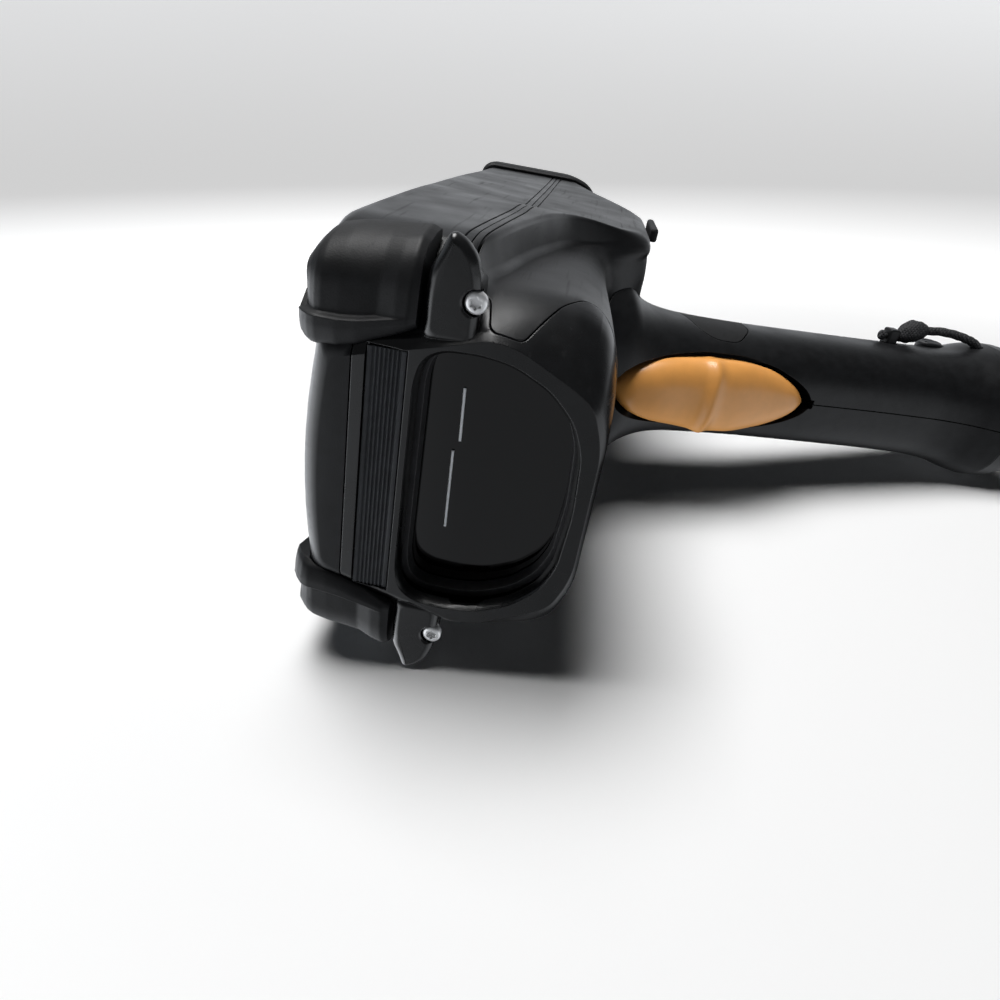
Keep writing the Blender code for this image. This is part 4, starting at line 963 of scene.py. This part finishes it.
def make_display():
    window = slab((0, DISPLAY_MIDDLE), DISPLAY_HALF, 3.7, (
        (-1.6, 0), (-0.5, 0), (-0.32, 0.06), (-0.22, 0.2), (-0.2, 0.4)))
    stand_in("display_window", window, DEVICE, COVER)
    panel = slab((0, DISPLAY_MIDDLE - 1), PICTURE_HALF, 0.6, ((-0.22, 0), (-0.16, 0)))
    add("display_area", panel, DEVICE, SCREEN, "device")


# ---------------------------------------------------------------- grip


def grip_ring(row, grow=0):
    z, half_x, front, rear = row
    middle, half_y = (front + rear) / 2, (rear - front) / 2
    power = 2 / GRIP_SQUARENESS
    ring = []
    for i in range(GRIP_SEGMENTS):
        angle = 2 * math.pi * (i + 0.5) / GRIP_SEGMENTS
        c, s = math.cos(angle), math.sin(angle)
        ring.append((
            math.copysign(abs(c) ** power, c) * (half_x + grow),
            middle + math.copysign(abs(s) ** power, s) * (half_y + grow), z))
    return ring


def grip_skin(first, last, size=2, grow=0):
    return loft([grip_ring(read_rows(GRIP_ROWS, z), grow) for z in steps(first, last, size)])


def in_grip(bm):
    """A solid of the design frame, as seen from the grip's frame."""
    bmesh.ops.transform(bm, matrix=GRIP.inverted() @ DEVICE, verts=bm.verts)
    return bm


def trigger_slot():
    front, rear = SLOT_Y
    rings = []
    for z in steps(12, -57.6, 1.2):
        half = read_rows(SLOT_ROWS, z)[1]
        rings.append(raised(2, z, ((-half, front), (half, front), (half, rear), (-half, rear))))
    return loft(rings)


def grip_cutters():
    bay = slab(BAY_PLACE, BAY_HALF, 3.6, ((-140, 0), (BAY_TOP, 0)))
    band = carve(prism(0, rounded_ring(COLLAR_SIDE, 3, 5), -60, 60), cut=[
        grip_skin(*COLLAR_Z, 3, -(COLLAR_DEPTH + GAP))])
    return [
        in_grip(body_skin(GAP, 60, 170)), bay, trigger_slot(),
        box(*SWITCH_POCKET), box(*CABLE_WAY),
        rod(0, PIN_RADIUS + GAP, -16, 16, PIVOT), band,
    ]


def make_grip():
    lug_low, lug_high = (Vector(corner) for corner in LUG_BOX)
    room = Vector((GAP, GAP, GAP))
    left_only = [
        turned(0, ((8, 4.4), (15.9, 4.4), (30, 5.4)), LATCH, 64),
        box(lug_low - room, lug_high + room + Vector((20, 0, 0))),
        tube_along(smooth_path(CORD_PATH, 6), CORD_RADIUS + GAP),
    ]
    for side, name in ((1, "grip_shell_left"), (-1, "grip_shell_right")):
        low_x, high_x = sorted((side * GAP / 2, side * 60))
        shell = carve(
            grip_skin(16, -121.6), keep=[box((low_x, -60, -150), (high_x, 60, 40))],
            cut=grip_cutters() + (left_only if side > 0 else []))
        stand_in(name, shell, GRIP, GRIP_PLASTIC)
    drawn_in = grown_ring(COLLAR_SIDE, -GAP)
    collar = carve(
        grip_skin(*COLLAR_Z, 1.6),
        keep=[prism(0, rounded_ring(drawn_in, 2.8, 5), -60, 60)],
        cut=[grip_skin(COLLAR_Z[0] + 2, COLLAR_Z[1] - 2, 3, -COLLAR_DEPTH)])
    stand_in("grip_collar", collar, GRIP, PAD)
    cap = loft([grip_ring(row) for row in rounded_path(CAP_ROWS, 1, 5)])
    stand_in("battery_cap", cap, GRIP, GRIP_PLASTIC)
    x = LATCH[0] + 13.4
    latch = turned(0, ((x, 4), (17.6, 4), (18.1, 3.85), (18.45, 3.5), (18.6, 2.9), (18.3, 0.8)),
                   (0, LATCH[1], LATCH[2]), 64)
    ribs = [box((17.9, LATCH[1] + y - 0.3, LATCH[2] - 3), (19, LATCH[1] + y + 0.3, LATCH[2] + 3))
            for y in (-1.6, 0, 1.6)]
    stand_in("battery_latch", carve(latch, cut=ribs), GRIP, KEY)


def trigger_ring(z, half_x, front, shoulder, back):
    """The trigger's section: a crowned front, full shoulders and a flat back."""
    half = []
    for i in range(15):
        turn = math.pi / 2 * i / 14
        reach = math.sin(turn) ** 0.96
        half.append((half_x * reach, shoulder - (shoulder - front) * math.cos(turn) ** 0.96))
    half += [(half_x * 0.99, shoulder * 0.9 + back * 0.1),
             (half_x * 0.96, (shoulder * 3 + back) / 4), (half_x * 0.9, back), (0, back)]
    return raised(2, z, mirrored(half))


def make_trigger():
    rings = [trigger_ring(*read_rows(TRIGGER_ROWS, z)) for z in steps(7.4, -55.6, 0.9)]
    parts = [
        rod(0, 4.2, -8, 8, PIVOT, 48),
        box((-8, -12, -8.6), (8, -5, -1)), box((-3, -10, -44), (3, -4.2, -37), 0.4),
    ]
    holes = [
        box((-4.6, -9.4, -12), (4.6, 4, 3)),
        rod(0, PIN_RADIUS + GAP, -12, 12, PIVOT),
    ]
    trigger = stand_in("trigger", carve(loft(rings), join=parts, cut=holes), GRIP, GOLD, 40)
    trigger.visible_diffuse = False
    per_turn = 40
    last = int(SPRING_TURNS * per_turn)
    radius = PIN_RADIUS + GAP + SPRING_WIRE + 0.2
    path = []
    for i in range(last + 1):
        angle = 2 * math.pi * i / per_turn + math.pi / 2
        x = SPRING_HALF * (2 * i / last - 1)
        path.append(Vector(PIVOT) + Vector((x, radius * math.cos(angle), radius * math.sin(angle))))
    stand_in("trigger_spring", tube_along(path, SPRING_WIRE, 12), GRIP, STEEL)


def make_lanyard():
    low, high = (Vector(corner) for corner in LUG_BOX)
    bore = rod(2, LUG_BORE, low.z - 2, high.z + 2, LUG_BORE_PLACE, 32)
    stand_in("lanyard_lug", carve(box(low, high, 0.7), cut=[bore]), GRIP, GRIP_PLASTIC)
    rings = []
    for z, radius, x, y in rounded_path(KNOT_ROWS, 0.5):
        ring = []
        for k in range(40):
            turn = 2 * math.pi * k / 40
            lay = 0.12 * (0.5 - 0.5 * math.cos(5 * turn - z * 2.2)) if radius > 2 else 0
            reach = radius * (1 - lay)
            ring.append((x + reach * math.cos(turn), y + reach * math.sin(turn), z))
        rings.append(ring)
    stand_in("lanyard_knot", loft(rings), GRIP, CORD, 60)
    cord = tube_along(smooth_path(CORD_PATH, 20), CORD_RADIUS, 24, 3, 0.12, 0.55)
    stand_in("lanyard_loop", cord, GRIP, CORD, 60)


def finish_cad_nodes():
    """The CAD nodes that keep their own mesh get their real finish."""
    looks = (
        (BRASS, "battery_contacts dock_contacts"), (PAD, "belly_foot_left belly_foot_right"),
        (INNER, "battery_pack scan_engine speaker trigger_switch"), (SCREEN, "display_module"),
        (MAT, "key_mat"), (BOARD, "main_board"), (SHIELD, "radio_board"), (LENS, "scan_lens"),
        (LAMP, "status_light"), (STEEL, "trigger_pin"),
    )
    for look, nodes in looks:
        for node in nodes.split():
            data = frame["nodes"][node].data
            data.materials.clear()
            data.materials.append(look)


# ---------------------------------------------------------------- set, light and camera

# Sizes of the set are in metres. The floor glows from GLOW_RADIUS outwards, so that it stays
# white far away and takes the shadow close by.
FLOOR_RADIUS, BOWL_RADIUS, WALL_TOP = 1.4, 0.6, 1.7
GLOW_RADIUS, FLOOR_GLOW = (0.17, 0.5), 0.5
# The world's strength: everywhere, to the front, left, right and back, and in gloss alone.
WORLD_BASE, WORLD_FRONT, WORLD_LEFT, WORLD_RIGHT = 0.012, 0.36, 3.0, 1.2
WORLD_BACK, WORLD_ROOM = 0.8, 0.1
LIGHT_AIM = (0.0, 0.0, 0.04)
CAMERA_PLACE = (-0.03863, -0.23265, 0.10669)
CAMERA_DOWN, CAMERA_TURN, CAMERA_LENS = 27.85, 7.58, 25.577


def emission_floor():
    """White paper that stays white to the horizon."""
    made = bpy.data.materials.new("white_sweep")
    made.use_nodes = True
    tree = made.node_tree
    length = shader_node(tree, "VectorMath")
    length.operation = "LENGTH"
    feed(tree, length, {0: shader_node(tree, "TexCoord").outputs["Object"]})
    feed(tree, tree.nodes["Principled BSDF"], {
        "Base Color": (0.86, 0.86, 0.86, 1.0), "Roughness": 0.9, "Specular IOR Level": 0.1,
        "Emission Color": (1.0, 1.0, 1.0, 1.0),
        "Emission Strength": spread(tree, length.outputs["Value"], *GLOW_RADIUS, 0.0, FLOOR_GLOW,
                                    how="SMOOTHSTEP"),
    })
    return made


def make_set():
    """A round white bowl: a flat floor that curves up into a wall."""
    profile = [(0.02, 0.0), (0.3, 0.0), (0.8, 0.0), (FLOOR_RADIUS, 0.0)]
    for i in range(1, 13):
        turn = math.pi / 2 * i / 12
        profile.append((FLOOR_RADIUS + BOWL_RADIUS * math.sin(turn),
                        BOWL_RADIUS - BOWL_RADIUS * math.cos(turn)))
    profile.append((FLOOR_RADIUS + BOWL_RADIUS, WALL_TOP))
    bm = bmesh.new()
    sides = 96
    rows = [[bm.verts.new(point) for point in raised(2, z, circle(radius, sides))]
            for radius, z in profile]
    for low, high in zip(rows, rows[1:]):
        for i in range(sides):
            j = (i + 1) % sides
            bm.faces.new((low[i], low[j], high[j], high[i]))
    bm.faces.new(rows[0])
    bmesh.ops.recalc_face_normals(bm, faces=bm.faces)
    mesh = bpy.data.meshes.new("floor")
    bm.to_mesh(mesh)
    bm.free()
    mesh.shade_smooth()
    mesh.materials.append(emission_floor())
    floor = in_scene("floor", mesh)
    floor.visible_glossy = False
    floor.visible_diffuse = False


def softbox(name, place, size, power, colour=(1.0, 1.0, 1.0)):
    light = bpy.data.lights.new(name, "AREA")
    light.shape = "RECTANGLE"
    light.size, light.size_y = size
    light.energy = power
    light.color = colour
    made = in_scene(name, light)
    made.location = place
    made.rotation_euler = (Vector(LIGHT_AIM) - Vector(place)).to_track_quat("-Z", "Y").to_euler()
    made.visible_camera = False


def make_world():
    """Dim above, bright below the horizon as a white table is: most to the left and the back."""
    world = bpy.data.worlds.new("studio")
    bpy.context.scene.world = world
    world.use_nodes = True
    tree = world.node_tree
    place = shader_node(tree, "TexCoord").outputs["Generated"]
    parts = shader_node(tree, "SeparateXYZ", {"Vector": place})

    def along(axis, *limits):
        return spread(tree, parts.outputs[axis], *limits, how="SMOOTHSTEP")

    def added(first, second):
        return calculated(tree, "ADD", first, second)

    def times(first, second):
        return calculated(tree, "MULTIPLY", first, second)

    back = along("Y", 0.35, 0.9, 0.0, WORLD_BACK)
    left = along("X", -0.15, -0.95, 0.0, WORLD_LEFT)
    front = times(along("X", 0.1, 0.8, WORLD_FRONT, WORLD_RIGHT), along("Y", 0.6, 0.1, 0.0, 1.0))
    table = added(added(left, times(back, along("Z", -0.32, -0.12, 0.0, 1.0))), front)
    table = times(table, along("Z", 0.08, -0.1, 0.0, 1.0))
    # Only gloss picks this up: the pale room above the table.
    room = added(times(back, along("Z", 0.0, 0.5, 1.0, 0.3)), WORLD_ROOM)
    glossy = shader_node(tree, "LightPath").outputs["Is Glossy Ray"]
    room = times(times(room, along("Z", -0.1, 0.08, 0.0, 1.0)), glossy)
    feed(tree, tree.nodes["Background"], {
        "Color": (0.93, 0.96, 1.0, 1.0), "Strength": added(added(table, room), WORLD_BASE),
    })


def make_lights():
    softbox("top_softbox", (-0.2, 0.05, 0.95), (0.6, 0.5), 12.0)
    softbox("left_softbox", (-1.0, 0.1, 0.35), (0.8, 0.5), 0.5, (0.82, 0.9, 1.0))


def make_camera():
    data = bpy.data.cameras.new("camera")
    data.sensor_width = 36.0
    data.lens = CAMERA_LENS
    data.clip_start, data.clip_end = 0.005, 20.0
    camera = in_scene("camera", data)
    camera.location = CAMERA_PLACE
    camera.rotation_euler = (math.radians(90 - CAMERA_DOWN), 0.0, math.radians(CAMERA_TURN))
    bpy.context.scene.camera = camera


make_camera()
make_body()
make_display()
make_keys()
make_navigation()
make_grip()
make_trigger()
make_lanyard()
finish_cad_nodes()
make_set()
make_world()
make_lights()
bpy.context.scene.view_settings.view_transform = "Standard"
